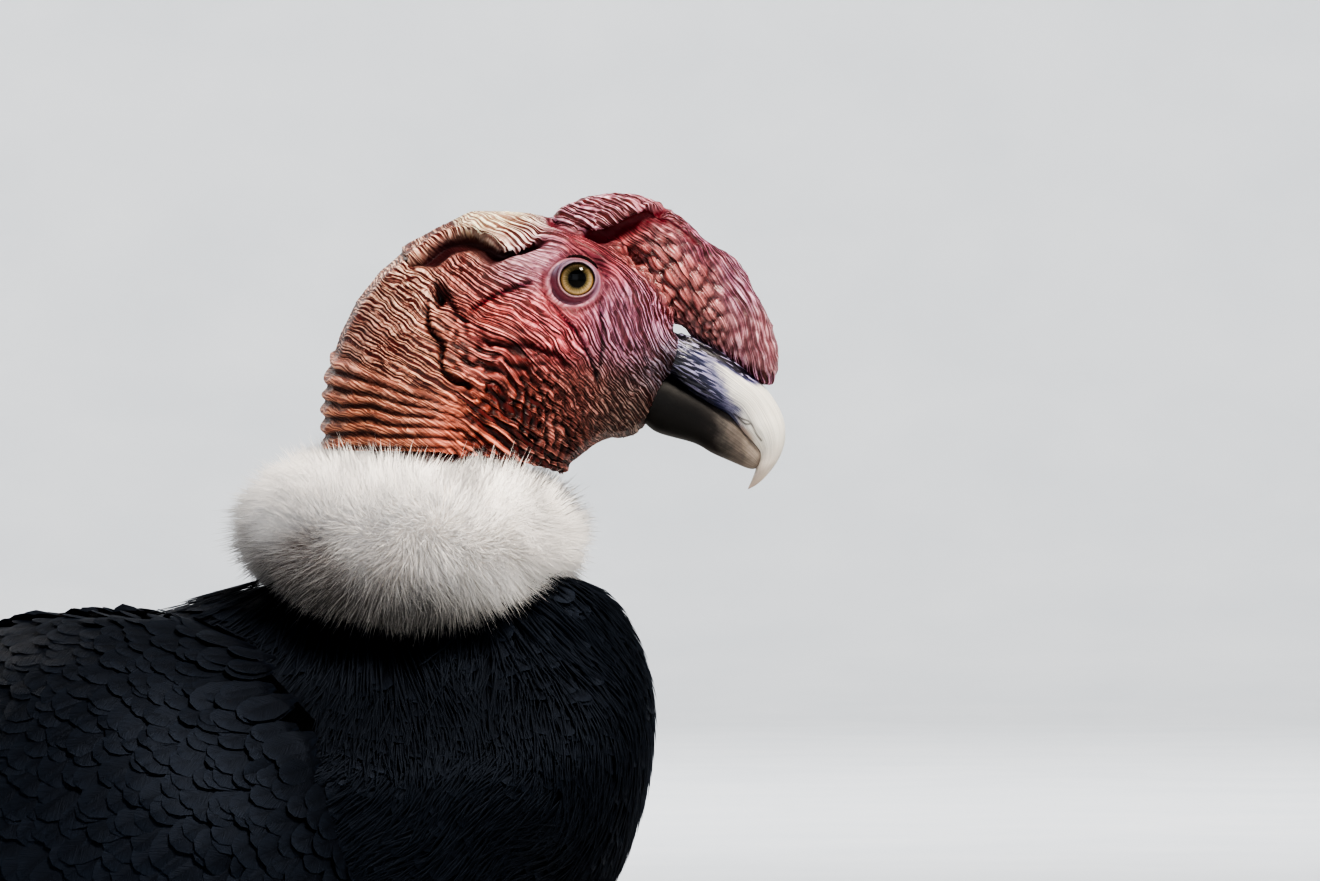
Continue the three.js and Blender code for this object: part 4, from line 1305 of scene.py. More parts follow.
leg_solids = swollen(copy_of(*LEG_NODES), 0.3 * MM)
for hand in (-1, 1):
    ankle = bmesh.ops.create_uvsphere(leg_solids, u_segments=24, v_segments=16, radius=12.5 * MM)["verts"]
    middle = COLLAR + np.array([FOOT_BACK + 1, hand * FEET_APART / 2, FLOOR_LEVEL + 15]) * MM
    bmesh.ops.translate(leg_solids, verts=ankle, vec=Vector(middle))
leg_hide = Hide(fused(leg_solids, LEG_GRAIN, "leg_skin"))
leg_hide.soften(6)
plate = np.zeros(len(leg_hide.p))
for hand in (-1, 1):
    for turn, length in TOES.values():
        heading = np.array([math.cos(turn), hand * math.sin(turn)])
        off = leg_hide.p[:, :2] - [FOOT_BACK, hand * FEET_APART / 2]
        reach = off @ heading
        beside = np.abs(off @ [-heading[1], heading[0]])
        foot = leg_hide.p[:, 2] < FLOOR_LEVEL + FOOT_HEIGHT
        on_top = ease(leg_hide.n[:, 2], 0.1, 0.6) * (reach > 12) * (beside < 9) * foot
        saw = (reach / 6.2) % 1
        plate = np.maximum(plate, on_top * ease(saw, 0, 0.18) * ease(1 - saw, 0, 0.12))
        pad = 0.5 - 0.5 * np.cos(2 * math.pi * reach / (length / 3.2))
        low = (leg_hide.p[:, 2] < FLOOR_LEVEL + 9) * (reach > 8) * (beside < 12)
        leg_hide.p[:, 2] += np.where(low, 0.9 * (1 - pad) * ease(-leg_hide.n[:, 2], 0.2, 0.9), 0)
front = ease(leg_hide.n[:, 0], 0.3, 0.8) * (leg_hide.p[:, 2] > FLOOR_LEVEL + FOOT_HEIGHT)
shin = ((leg_hide.p[:, 2] - FLOOR_LEVEL) / 7.0) % 1
plate = np.maximum(plate, front * ease(shin, 0, 0.2) * ease(1 - shin, 0, 0.14))
leg_hide.raise_by(0.75 * plate)
leg_hide.soften(1, 0.2)
leg_hide.p[:, 2] = np.maximum(leg_hide.p[:, 2], FLOOR_LEVEL + 0.05)
leg_hide.refresh()
shape_points(leg_hide.mesh, leg_hide.p)
leg_tone = (0.8 + 0.45 * plate)[:, None] * np.array([1.0, 0.98, 0.96])
put_attribute(leg_hide.mesh, "flesh", leg_tone, "FLOAT_COLOR")
put_attribute(leg_hide.mesh, "lie", leg_hide.p)
leg_skin = smooth_object("leg_skin", leg_hide.mesh)
leg_skin.data.materials.append(leg_scales())

neck_core_form = limb_form(
    rail((18, 0, -8), (17, 0, 15), (15, 0, 38), (12, 0, 62)), between((0, 34), (0.4, 34), (1, 32)),
)
shells = [
    skin_shell("trunk_skin", 48, 56, lambda s, up, side: trunk_form(s, up, side, TRUNK_COAT), "#060608"),
    skin_shell("neck_core", 16, 32, neck_core_form, "#5a1c14"),
]
for hand in (-1, 1):
    thigh = limb_form(leg_path(hand), thigh_radius)
    shells.append(skin_shell("thigh_skin", 24, 28, lambda s, up, side: thigh(s, up, side, 8.0), "#060608"))
joined_into(head_skin, leg_skin, *shells)
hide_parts("head", "neck", "comb", "trunk", "thigh_right", "thigh_left", *LEG_NODES)


# The claws: dark worn horn, blunt for an eagle's kin, since a condor walks more than it grips.
def claw_horn():
    material, add = new_material("claw_horn")
    place = add("TexCoord")
    cloud = add("TexNoise", Vector=(place, "Object"), Scale=160.0, Detail=4.0)
    streak = add("Attribute", attribute_name="share")
    line_place = add("Mapping", Vector=(streak, "Vector"), Scale=(2.0, 9.0, 9.0))
    lines = add("TexNoise", Vector=line_place, Scale=1.0, Detail=3.0)
    tone = add("ValToRGB", Fac=lines, stops=[(0.3, "#1b1716"), (0.55, "#2f2825"), (0.75, "#51463d")])
    rough = add("MapRange", Value=cloud, To_Min=0.28, To_Max=0.5)
    bump = add("Bump", Strength=0.5, Distance=0.0003, Height=lines)
    shader = add("BsdfPrincipled", Base_Color=tone, Roughness=rough, Normal=bump, IOR=1.54)
    add("OutputMaterial", Surface=shader)
    return material


claw_finish = claw_horn()
for side, hand in (("right", -1), ("left", 1)):
    for toe, (turn, length) in TOES.items():
        def claw_place(reach, lift):
            ahead = length - 5 + reach
            beside = hand * (FEET_APART / 2 + math.sin(turn) * ahead)
            return (FOOT_BACK + math.cos(turn) * ahead, beside, FLOOR_LEVEL + lift)

        claw_path = rail(
            claw_place(0, 8), claw_place(CLAW_LENGTH * 0.45, 10.5), claw_place(CLAW_LENGTH * 0.8, 7.5),
            claw_place(CLAW_LENGTH, 1.8),
        )
        form = limb_form(claw_path, between((0, 4.6), (0.3, 5), (0.7, 3.4), (1, 0.8)))
        claw = moulded("claw_%s_%s_horn" % (side, toe), 32, 24, form)
        claw.data.materials.append(claw_finish)
        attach(claw, "root")
        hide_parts("claw_%s_%s" % (side, toe))

# The ruff: a thick collar of pure white down round the foot of the bare neck. A soft core carries tens of
# thousands of fine filaments, which stand out from it like the pile of a powder puff and end in a fringe.
RUFF_HALF = (77.0, 74.0)
RUFF_RISE = 43.0
RUFF_DEPTH = 42.0
RUFF_CURVE = {"top": 0.4, "under_ends": 1.3, "under_sides": 0.45}
TUFT_PATCH = 0.003
DOWN_LENGTH = 13.0
FILAMENTS = 70000
RUFF_PIECES = 4
SPIKES = 11000


class Coat:
    """Many small closed filaments or vanes, built as one mesh from arrays, in millimetres from the middle
    of the ruff. Each is a stack of `rings` cross-sections of `sides` points that closes in a tip."""

    def __init__(self, sides, rings):
        self.sides = sides
        self.rings = rings
        self.batches = []

    def add(self, sections, tips, uv, tint, vane, normals=None):
        """Takes (n, rings, sides, 3) points and (n, 3) tips, then a value for each of a vane's points: the
        colours, (across, along, number) in millimetres, and softened normals. The places on the unwrap have
        one more column than there are sides, since the wall of a vane is unrolled."""
        count = len(tips)
        points = np.concatenate([sections.reshape(count, -1, 3), tips[:, None, :]], 1)
        if normals is None:
            normals = np.zeros_like(points)
        self.batches.append((points, uv, np.broadcast_to(tint, points.shape), vane, normals))

    def build(self, name, material, replaced=(), ridges=()):
        columns = [np.concatenate([batch[k] for batch in self.batches]) for k in range(5)]
        points, uv, tint, vane, normals = columns
        count, per = points.shape[:2]
        ring = np.arange(self.rings * self.sides).reshape(self.rings, self.sides)
        unrolled = np.arange(self.rings * (self.sides + 1)).reshape(self.rings, self.sides + 1)
        one_more = np.concatenate([ring, ring[:, :1]], 1)
        loops = []
        for grid in (one_more, unrolled):
            walls = np.stack([grid[:-1, :-1], grid[:-1, 1:], grid[1:, 1:], grid[1:, :-1]], -1).reshape(-1, 4)
            tip = np.stack([grid[-1, :-1], grid[-1, 1:], np.full(self.sides, grid.max() + 1)], -1)
            loops.append(np.concatenate([walls.ravel(), tip.ravel(), grid[0, :-1][::-1]]))
        sizes = np.concatenate([np.full(len(walls), 4), np.full(len(tip), 3), [self.sides]])
        corners = (loops[0][None, :] + np.arange(count)[:, None] * per).ravel()
        sizes = np.tile(sizes, count)
        mesh = bpy.data.meshes.new(name)
        mesh.vertices.add(count * per)
        mesh.vertices.foreach_set("co", (points.reshape(-1, 3) * MM + COLLAR).ravel())
        mesh.loops.add(len(corners))
        mesh.loops.foreach_set("vertex_index", corners)
        mesh.polygons.add(len(sizes))
        mesh.polygons.foreach_set("loop_start", np.cumsum(sizes) - sizes)
        mesh.polygons.foreach_set("use_smooth", np.full(len(sizes), True))
        mesh.update(calc_edges=True)
        unwrap = mesh.uv_layers.new(name="OFBake")
        unwrap.data.foreach_set("uv", uv[:, loops[1]].astype(np.float32).ravel())
        put_attribute(mesh, "tint", tint.reshape(-1, 3), "FLOAT_COLOR")
        put_attribute(mesh, "vane", vane.reshape(-1, 3))
        if len(ridges):
            on_ridge = np.zeros(per, bool)
            on_ridge[ring[:, list(ridges)]] = True
            on_ridge[-1] = True
            ends = np.empty(len(mesh.edges) * 2, int)
            mesh.edges.foreach_get("vertices", ends)
            sharp = np.tile(on_ridge, count)[ends.reshape(-1, 2)].all(axis=1)
            mesh.attributes.new("sharp_edge", "BOOLEAN", "EDGE").data.foreach_set("value", sharp)
        if np.any(normals):
            mesh.normals_split_custom_set_from_vertices(normals.reshape(-1, 3))
        made = linked(name, mesh)
        made.data.materials.append(material)
        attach(made, "root")
        if replaced:
            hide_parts(*replaced)


def slopes(surface, s, a, per=1.0):
    """How a surface runs along s and along a."""
    h = 1e-3
    run_s = surface(s + h, a) - surface(s - h, a)
    return run_s / per, (surface(s, a + h) - surface(s, a - h)) / per


def evenly_over(surface, count, s_limits, a_limits=(-math.pi, math.pi), start=0.5, grid=140):
    """Places (s, a) spread over a patch of surface(s, a), as many to the square millimetre everywhere."""
    s_edge = np.linspace(*s_limits, grid + 1)
    a_edge = np.linspace(*a_limits, grid + 1)
    s, a = np.meshgrid((s_edge[1:] + s_edge[:-1]) / 2, (a_edge[1:] + a_edge[:-1]) / 2, indexing="ij")
    area = np.linalg.norm(np.cross(*slopes(surface, s, a)), axis=-1) + 1e-9
    row = np.concatenate([[0], np.cumsum(area.sum(axis=1))]) / area.sum()
    column = np.concatenate([np.zeros((grid, 1)), np.cumsum(area, axis=1)], 1)
    column = column / column[:, -1:]
    number = np.arange(count)
    u = (start + number * 0.7548776662) % 1
    v = (start + number * 0.5698402910) % 1
    at = np.clip(np.searchsorted(row, u) - 1, 0, grid - 1)
    cell = np.clip((column[at] < v[:, None]).sum(axis=1) - 1, 0, grid - 1)
    part = (v - column[at, cell]) / (column[at, cell + 1] - column[at, cell])
    return np.interp(u, row, s_edge), a_edge[cell] + (a_edge[cell + 1] - a_edge[cell]) * part


def wavering(places, reach, seed):
    """A smooth random direction for each place, which changes over about `reach` millimetres."""
    draw = np.random.default_rng(seed)
    total = np.zeros_like(places)
    for _ in range(12):
        wave = draw.normal(size=3) * 2.2 / reach
        total = total + draw.normal(size=3) * np.sin(places @ wave + draw.uniform(0, 2 * math.pi))[:, None]
    return total / 3.5


def patch_on(unwrap, sides, rings):
    """The corners of a tuft's small patch round its root's place on the unwrap."""
    across = np.append(np.tile(np.arange(sides + 1) / sides, rings), 0.5)
    along = np.append(np.repeat(np.arange(rings) / rings, sides + 1), 1.0)
    return unwrap[:, None, :] + (np.stack([across, along], 1)[None] - 0.5) * TUFT_PATCH


def filaments(coat, roots, heading, length, width, bend, unwrap, tint, soft=None):
    """Adds thin tapering filaments, which leave their roots along `heading` and curve by `bend`."""
    helper = np.where(np.abs(heading[:, 2:3]) < 0.8, [[0, 0, 1.0]], [[1.0, 0, 0]])
    across = unit(np.cross(heading, helper))
    upward = np.cross(heading, across)
    angle = np.arange(coat.sides) / coat.sides * 2 * math.pi
    share = np.linspace(0, 1, coat.rings + 1)
    centre = roots[:, None, :] + heading[:, None, :] * (length[:, None] * share)[:, :, None]
    centre = centre + bend[:, None, :] * (length[:, None] * share**2)[:, :, None]
    radius = width[:, None] / 2 * (1 - share[:-1] ** 1.6)
    circle = across[:, None, :] * np.cos(angle)[:, None] + upward[:, None, :] * np.sin(angle)[:, None]
    sections = centre[:, :-1, None, :] + circle[:, None, :, :] * radius[:, :, None, None]
    per = coat.rings * coat.sides + 1
    vane = np.zeros((len(roots), per, 3))
    vane[:, :, 1] = np.append(np.repeat(share[:-1], coat.sides), 1.0) * length[:, None]
    vane[:, :, 2] = (np.arange(len(roots)) % 997)[:, None]
    normals = None
    if soft is not None:
        own = np.tile(circle, (1, coat.rings, 1))
        own = np.concatenate([own, heading[:, None, :]], 1)
        normals = unit(own * 0.45 + soft[:, None, :])
    uv = patch_on(unwrap, coat.sides, coat.rings)
    coat.add(sections, centre[:, -1], uv, tint[:, None, :], vane, normals)


def ruff_place(azimuth, height, inset=0.0):
    """A place on the ruff's outer form, for a height from -1 to 1, moved in by `inset` millimetres."""
    level = np.sqrt(np.clip(1 - height**2, 0, 1))
    ends, sides = RUFF_CURVE["under_ends"], RUFF_CURVE["under_sides"]
    under = ends + (sides - ends) * np.sin(azimuth) ** 2
    level = level ** np.where(height > 0, RUFF_CURVE["top"], under)
    up = height * (np.where(height > 0, RUFF_RISE, RUFF_DEPTH) - inset)
    forward = np.cos(azimuth) * level * (RUFF_HALF[0] - inset)
    return np.stack([forward, np.sin(azimuth) * level * (RUFF_HALF[1] - inset), up], -1)


def ruff_normal(azimuth, height):
    """The way out of the ruff's form."""
    h = 2e-3
    above, below = np.minimum(height + h, 1), np.maximum(height - h, -1)
    upwards = ruff_place(azimuth, above) - ruff_place(azimuth, below)
    return unit(np.cross(ruff_place(azimuth + h, height) - ruff_place(azimuth - h, height), upwards))


# White down: it glows softly, because light passes through the loose barbs. It is beige low behind,
# partly soiling and partly painted shade on the side away from the light, with painted grey shade beneath.
def white_down():
    material, add = new_material("white_down")
    tint = add("Attribute", attribute_name="tint")
    shader = add(
        "BsdfPrincipled", Base_Color=tint, Roughness=0.8, IOR=1.4, Sheen_Weight=0.15, Sheen_Roughness=0.5,
    )
    add("OutputMaterial", Surface=shader)
    return material


down = white_down()
draw = np.random.default_rng(21)
bm = bmesh.new()
bmesh.ops.create_uvsphere(bm, u_segments=96, v_segments=64, radius=1.0)
core = object_from(bm, "ruff_core")
ball = points_of(core.data)
place = ruff_place(np.arctan2(ball[:, 1], ball[:, 0]), ball[:, 2], DOWN_LENGTH - 3.0)
shape_points(core.data, place)
put_attribute(core.data, "tint", np.broadcast_to(rgb("#e9e2da"), (len(ball), 3)), "FLOAT_COLOR")
core.data.materials.append(down)
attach(core, "root")
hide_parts("ruff")


def inside_skin(places, margin):
    """True where a place lies deeper than `margin` millimetres under the skin of the neck."""
    near_neck = np.flatnonzero(hide.p[:, 2] < 80)
    tree = KDTree(len(near_neck))
    for k, number in enumerate(near_neck):
        tree.insert(hide.p[number], k)
    tree.balance()
    result = np.zeros(len(places), bool)
    for k in np.flatnonzero(np.linalg.norm(places[:, :2] - [17, 0], axis=1) < 66):
        number = near_neck[tree.find(places[k])[1]]
        result[k] = (places[k] - hide.p[number]) @ hide.n[number] < -margin
    return result


azimuth, height = evenly_over(ruff_place, FILAMENTS, (-math.pi, math.pi), (-0.999, 0.999))
outer = ruff_place(azimuth, height)
lifted = np.stack([outer[:, 0], outer[:, 1], np.maximum(outer[:, 2], 44)], 1)
in_neck = inside_skin(lifted, 1.0) & (outer[:, 2] > 15)
azimuth, height = azimuth[~in_neck], height[~in_neck]
root = ruff_place(azimuth, height, DOWN_LENGTH)
count = len(root)
outward = ruff_normal(azimuth, height)
hang = ease(-root[:, 2], 0, 40)[:, None]
away_from_middle = unit(root * [1, 1, 0])
heading = outward + 0.16 * wavering(root, 8, 5) + 0.16 * wavering(root, 26, 8)
heading = heading + 0.10 * draw.normal(size=root.shape)
rising = ease(root[:, 2], 2, 20)
heading = unit(heading + hang * [0, 0, -0.35] + 0.15 * away_from_middle + rising[:, None] * [0, 0, 0.25])
length = DOWN_LENGTH * (0.93 + 0.30 * draw.beta(1.3, 3.0, count) + 0.20 * rising)
width = draw.uniform(0.30, 0.52, count)
spikes = draw.random(count) < SPIKES / count
length[spikes] *= draw.uniform(1.08, 1.32, spikes.sum())
width[spikes] = draw.uniform(0.42, 0.6, spikes.sum())
bend = 0.16 * wavering(root, 14, 9) + 0.08 * draw.normal(size=root.shape) + [0, 0, -0.08]
# Beige low behind, on the side away from the light, partly soiling and partly painted shade; grey below is
# painted shade.
soiled = ease(12 - root[:, 2] + 10 * wavering(root, 30, 4)[:, 0], 0, 26) * ease(34 - root[:, 0], 0, 70)
low_shade = ease(-root[:, 2] - 0.12 * root[:, 0], 4, 24)
tint = rgb("#fbf8f5") * draw.uniform(0.93, 1.0, count)[:, None]
tint = tint + (rgb("#624e42") - tint) * (0.95 * soiled * draw.uniform(0.4, 1.0, count))[:, None]
tint = tint + (rgb("#4e4d4c") - tint) * (0.9 * low_shade)[:, None]
tint[spikes] = tint[spikes] + (rgb("#f6f0ea") - tint[spikes]) * 0.35
unwrap = np.stack([azimuth / (2 * math.pi) + 0.5, np.arcsin(height) / math.pi + 0.5], 1) * 0.98 + 0.01
for k, chosen in enumerate(np.array_split(draw.permutation(count), RUFF_PIECES)):
    coat = Coat(3, 2)
    filaments(
        coat, root[chosen], heading[chosen], length[chosen], width[chosen], bend[chosen], unwrap[chosen],
        tint[chosen], outward[chosen],
    )
    coat.build("ruff_down_%d" % (k + 1), down)

# The plumage of the body: blue-black contour feathers that overlap like slates on the trunk and thighs, and
# a bib of long hair-like ones that falls from under the ruff over the breast. Each grows towards the tail,
# from under the feathers in front of it.
CONTOUR = np.array([0.0, 0.32, 0.62, 0.84, 0.955])
HAIR = np.array([0.0, 0.4, 0.8])
VANE_THICKNESS = 0.25
FRONT_SHARE = 0.16
FRONT_RINGS, FRONT_POINTS = 50, 96


def unrolled(s, a):
    """Places on the unwrap of a body, with its length across and its girth up."""
    return np.stack([s, a / (2 * math.pi) + 0.5], 1) * 0.98 + 0.01


def lay_feathers(name, surface, inside, s, a, goal, length, half_width, root_lift, tip_lift, tint, seed,
                 roll=0.10, camber=0.14, near_front=None, shares=CONTOUR, unwrap=None, replaced=()):
    """A coat of small vanes on surface(s, a). Each points along `goal`, laid down on the surface, and lies
    at root_lift to tip_lift millimetres over it. `inside` is a place behind the surface, and `tint` turns
    (across, along, number) shares into colours. Vanes that start near the front lie on `near_front`."""
    draw = np.random.default_rng(seed)
    if unwrap is None:
        unwrap = unrolled(s, a)
    run_s, run_a = slopes(surface, s, a, 2e-3)
    flat = unit(np.cross(run_s, run_a))
    goal = unit(goal - (goal * flat).sum(axis=1, keepdims=True) * flat)
    ss, aa, sa = (run_s**2).sum(axis=1), (run_a**2).sum(axis=1), (run_s * run_a).sum(axis=1)
    gs, ga = (goal * run_s).sum(axis=1), (goal * run_a).sum(axis=1)
    area = np.maximum(ss * aa - sa**2, 1e-3)
    step_s, step_a = (gs * aa - ga * sa) / area, (ga * ss - gs * sa) / area
    stops = np.append(shares, 1.0)
    centre, normal = [], []
    for t in stops:
        at_s, at_a = s + step_s * length * t, a + step_a * length * t
        spot = surface(at_s, at_a)
        out = unit(np.cross(*slopes(surface, at_s, at_a, 2e-3)))
        out = out * np.sign(((spot - inside(at_s, at_a)) * out).sum(axis=1, keepdims=True))
        centre.append(spot)
        normal.append(out)
    centre, normal = np.stack(centre, 1), np.stack(normal, 1)
    for k in np.flatnonzero(s < FRONT_SHARE) if near_front else ():
        ahead = centre[k, 0] + np.outer(stops * length[k], goal[k])
        for stop, target in enumerate(ahead):
            spot, out = near_front.find_nearest(Vector(target))[:2]
            centre[k, stop], normal[k, stop] = spot, out
    run = unit(np.gradient(centre, axis=1))
    side = unit(np.cross(normal, run))
    side = unit(side + normal * draw.normal(0, roll, len(s))[:, None, None])
    up = unit(np.cross(run, side))
    lift = root_lift + (tip_lift - root_lift)[:, None] * stops
    centre = centre + up * lift[:, :, None]
    tip_round = np.sqrt(np.clip(1 - (np.clip(shares - 0.45, 0, 1) / 0.56) ** 2.2, 0, 1))
    width = half_width[:, None] * (0.3 + 0.7 * ease(shares, 0, 0.5)) * tip_round
    body, sideways, upwards = centre[:, :-1], side[:, :-1], up[:, :-1]
    reach = sideways * width[:, :, None]
    drop = upwards * (width * camber)[:, :, None]
    thick = upwards * np.minimum(VANE_THICKNESS, half_width * 0.4)[:, None, None]
    sections = np.stack([body + reach - drop, body + thick, body - reach - drop, body - thick], 2)
    per = len(shares) * 4 + 1
    number = draw.random(len(s))
    vane = np.zeros((len(s), per, 3))
    vane[:, :-1, 0] = np.stack([width, 0 * width, -width, 0 * width], 2).reshape(len(s), -1)
    along = np.append(np.repeat(shares, 4), 1.0)
    vane[:, :, 1] = along * length[:, None]
    vane[:, :, 2] = number[:, None] * 900
    across = np.append(np.tile([1.0, 0, -1.0, 0], len(shares)), 0)
    colour = tint(across[None, :, None], along[None, :, None], number[:, None, None])
    coat = Coat(4, len(shares))
    coat.add(sections, centre[:, -1], patch_on(unwrap, 4, len(shares)), colour, vane)
    coat.build(name, feather, replaced, (0, 2))


def feather_tint(colour, rim, rim_share=0.8, spread=0.3):
    """Colours of a plain vane with a rim of another tone."""
    middle, edge = rgb(colour), rgb(rim)

    def tint(across, along, number):
        share = np.maximum(ease(np.abs(across), 0.5, 1.0) * ease(along, 0.3, 0.9), ease(along, 0.85, 1.0))
        return (middle + (edge - middle) * share * rim_share) * (1 - spread / 2 + spread * number)

    return tint


# Feather: fine barbs slant off a dull shaft. The vane is satin, and faintly blue where it catches light.
def feather_vane():
    material, add = new_material("feather_vane")
    tint = add("Attribute", attribute_name="tint")
    vane = add("Attribute", attribute_name="vane")
    parts = add("SeparateXYZ", Vector=(vane, "Vector"))
    off_shaft = add("Math", operation="ABSOLUTE", i0=parts)
    slant = add("Math", operation="MULTIPLY_ADD", i0=off_shaft, i1=-1.2, i2=(parts, "Y"))
    place = add("CombineXYZ", X=slant, Y=off_shaft, Z=(parts, "Z"))
    scaled = add("Mapping", Vector=place, Scale=(1.1, 0.10, 1.0))
    barbs = add("TexNoise", Vector=scaled, Scale=1.0, Detail=3.0, Roughness=0.7)
    shaft = add("MapRange", Value=off_shaft, From_Min=0.2, From_Max=0.7, To_Min=0.55)
    tone = add("MapRange", Value=barbs, From_Min=0.34, From_Max=0.66, To_Min=0.6, To_Max=1.3)
    both = add("Math", operation="MULTIPLY", i0=tone, i1=shaft)
    colour = add("VectorMath", operation="SCALE", i0=tint, Scale=both)
    bump = add("Bump", Strength=0.6, Distance=0.0005, Height=barbs)
    rough = add("MapRange", Value=barbs, To_Min=0.46, To_Max=0.66)
    shader = add(
        "BsdfPrincipled", Base_Color=colour, Roughness=rough, Normal=bump, IOR=1.45,
        Specular_IOR_Level=0.22, Specular_Tint=from_hex("#b8ccf0"), Sheen_Weight=0.03, Sheen_Roughness=0.4,
        Sheen_Tint=from_hex("#8ea6d6"),
    )
    add("OutputMaterial", Surface=shader)
    return material


feather = feather_vane()
black_tint = feather_tint("#07080c", "#0f131a")


def trunk_skin_at(share, angle):
    return trunk_form(share, np.cos(angle), np.sin(angle))


def inside_ruff(places, margin):
    """True where a place is deeper than `margin` millimetres under the ruff's surface."""
    up = places[:, 2] / (np.where(places[:, 2] > 0, RUFF_RISE, RUFF_DEPTH) - margin)
    azimuth = np.arctan2(places[:, 1], places[:, 0])
    limit = np.linalg.norm(ruff_place(azimuth, np.clip(up, -1, 1), margin)[:, :2], axis=1)
    return (np.abs(up) < 1) & (np.linalg.norm(places[:, :2], axis=1) < limit)


WING_NODES = [
    "wing_%s_%s" % (side, row) for side in ("right", "left") for row in ("coverts", "secondaries")
]
wing_solids = BVHTree.FromBMesh(copy_of(*WING_NODES))


def under_wing(places, out):
    """True where a wing covers the place."""
    hits = [
        wing_solids.ray_cast(Vector(place * MM + COLLAR), Vector(way), 0.08)[0]
        for place, way in zip(places, out)
    ]
    return np.array([hit is not None for hit in hits])


def trunk_lie(places):
    """The way that the feathers of the trunk grow: out from under the ruff, then down and back."""
    away = unit(places * [1, 1.3, 1])
    share = ease(np.linalg.norm(places, axis=1), 70, 190)[:, None]
    return unit(away * (1 - share) + unit(np.array([-0.8, 0, -0.55])) * share)


# The front of the breast as faces, for feathers that start where the trunk's lines run together.
around = np.linspace(-math.pi, math.pi, FRONT_POINTS + 1)[:-1]
share, angle = np.meshgrid(np.linspace(0.001, 0.4, FRONT_RINGS), around, indexing="ij")
breast = trunk_skin_at(share.ravel(), angle.ravel())
here = np.arange((FRONT_RINGS - 1) * FRONT_POINTS).reshape(-1, FRONT_POINTS)
beside = np.roll(here, -1, 1)
breast_faces = np.stack([beside, beside + FRONT_POINTS, here + FRONT_POINTS, here], 2).reshape(-1, 4)
breast_tree = BVHTree.FromPolygons(breast.tolist(), breast_faces.tolist())

draw = np.random.default_rng(33)
s, a = evenly_over(trunk_skin_at, 5600, (0.045, 0.985))
spot = trunk_skin_at(s, a)
out = unit(spot - trunk_middle(s))
shown = ~inside_ruff(spot, 9) & ~(under_wing(spot, out) & under_wing(spot + 30 * trunk_lie(spot), out))
s, a, spot = s[shown], a[shown], spot[shown]
size = (24 + 24 * ease(-spot[:, 0], -60, 260)) * draw.uniform(0.88, 1.12, len(s))
goal = trunk_lie(spot) + 0.10 * draw.normal(size=spot.shape)
lay_feathers(
    "trunk_feathers", trunk_skin_at, trunk_middle, s, a, goal, size, size * 0.30, -7.0,
    draw.uniform(-0.8, 0.3, len(s)), black_tint, 5, 0.06, 0.08, breast_tree,
)

s, a = evenly_over(trunk_skin_at, 29000, (0.004, 0.62), start=0.2)
spot = trunk_skin_at(s, a)
reach = np.linalg.norm(spot * [1, 0.9, 0.9], axis=1)
out = unit(spot - trunk_middle(s))
keep = draw.random(len(s)) < ease(-reach, -300, -200) * ease(spot[:, 0], -90, -50)
keep &= ~inside_ruff(spot, 9) & ~under_wing(spot, out)
s, a, spot = s[keep], a[keep], spot[keep]
goal = trunk_lie(spot) + 0.10 * draw.normal(size=spot.shape) + 0.30 * wavering(spot, 30, 12)
size = draw.uniform(26, 44, len(s))
half = draw.uniform(0.32, 0.62, len(s))
tip_lift = draw.uniform(0.1, 1.8, len(s))
for k, chosen in enumerate(np.array_split(draw.permutation(len(s)), 3)):
    lay_feathers(
        "breast_bib_%d" % (k + 1), trunk_skin_at, trunk_middle, s[chosen], a[chosen], goal[chosen],
        size[chosen], half[chosen], -2.5, tip_lift[chosen], feather_tint("#0a0c10", "#161b23"), 6 + k,
        near_front=breast_tree, shares=HAIR,
    )

# The thighs: short loose feathers that hang like a trouser leg down to the ankle.
for side, hand in (("right", -1), ("left", 1)):
    thigh_line = leg_path(hand)
    thigh = limb_form(thigh_line, thigh_radius)

    def thigh_skin_at(share, angle):
        return thigh(share, np.cos(angle), np.sin(angle))

    s, a = evenly_over(thigh_skin_at, 620, (0.04, 0.97))
    spot = thigh_skin_at(s, a)
    size = np.interp(s, [0, 0.5, 1], [34, 30, 20]) * draw.uniform(0.85, 1.15, len(s))
    lay_feathers(
        "thigh_feathers_" + side, thigh_skin_at, lambda share, angle: thigh_line(share), s, a,
        np.array([-0.25, 0, -1.0]) + 0.15 * draw.normal(size=spot.shape), size, size * 0.26, -6.0,
        draw.uniform(-0.5, 1.0, len(s)), black_tint, 8,
    )

# The folded wings: a flat arm under small slate-like coverts, two rows of longer coverts, then the long
# secondaries with their silver-white outer webs, which in an adult male make one pale panel. The black
# primaries come out from under them and end in stepped tips beside the tail.
WING_UPPER = [
    (-62, -44, -42), (-112, -43, -31), (-182, -34, -37), (-260, -24, -80), (-350, -18, -158),
    (-450, -20, -262), (-560, -28, -375), (-640, -36, -462),
]
WING_LOWER = [
    (-14, -84, -118), (-22, -106, -176), (-80, -120, -226), (-160, -122, -272), (-250, -113, -312),
    (-350, -95, -350), (-455, -76, -394), (-560, -58, -434), (-642, -45, -470),
]
ROOF_TURN = (-0.45, 1.25)
wing_upper, wing_lower = rail(*WING_UPPER), rail(*WING_LOWER)
wing_bulge = between((0, 20), (0.15, 46), (0.4, 56), (0.6, 42), (0.8, 18), (1, 4))
wing_depth = between((0, 16), (0.2, 26), (0.5, 22), (0.75, 13), (1, 4))
COVERTS_PER_WING = 1500
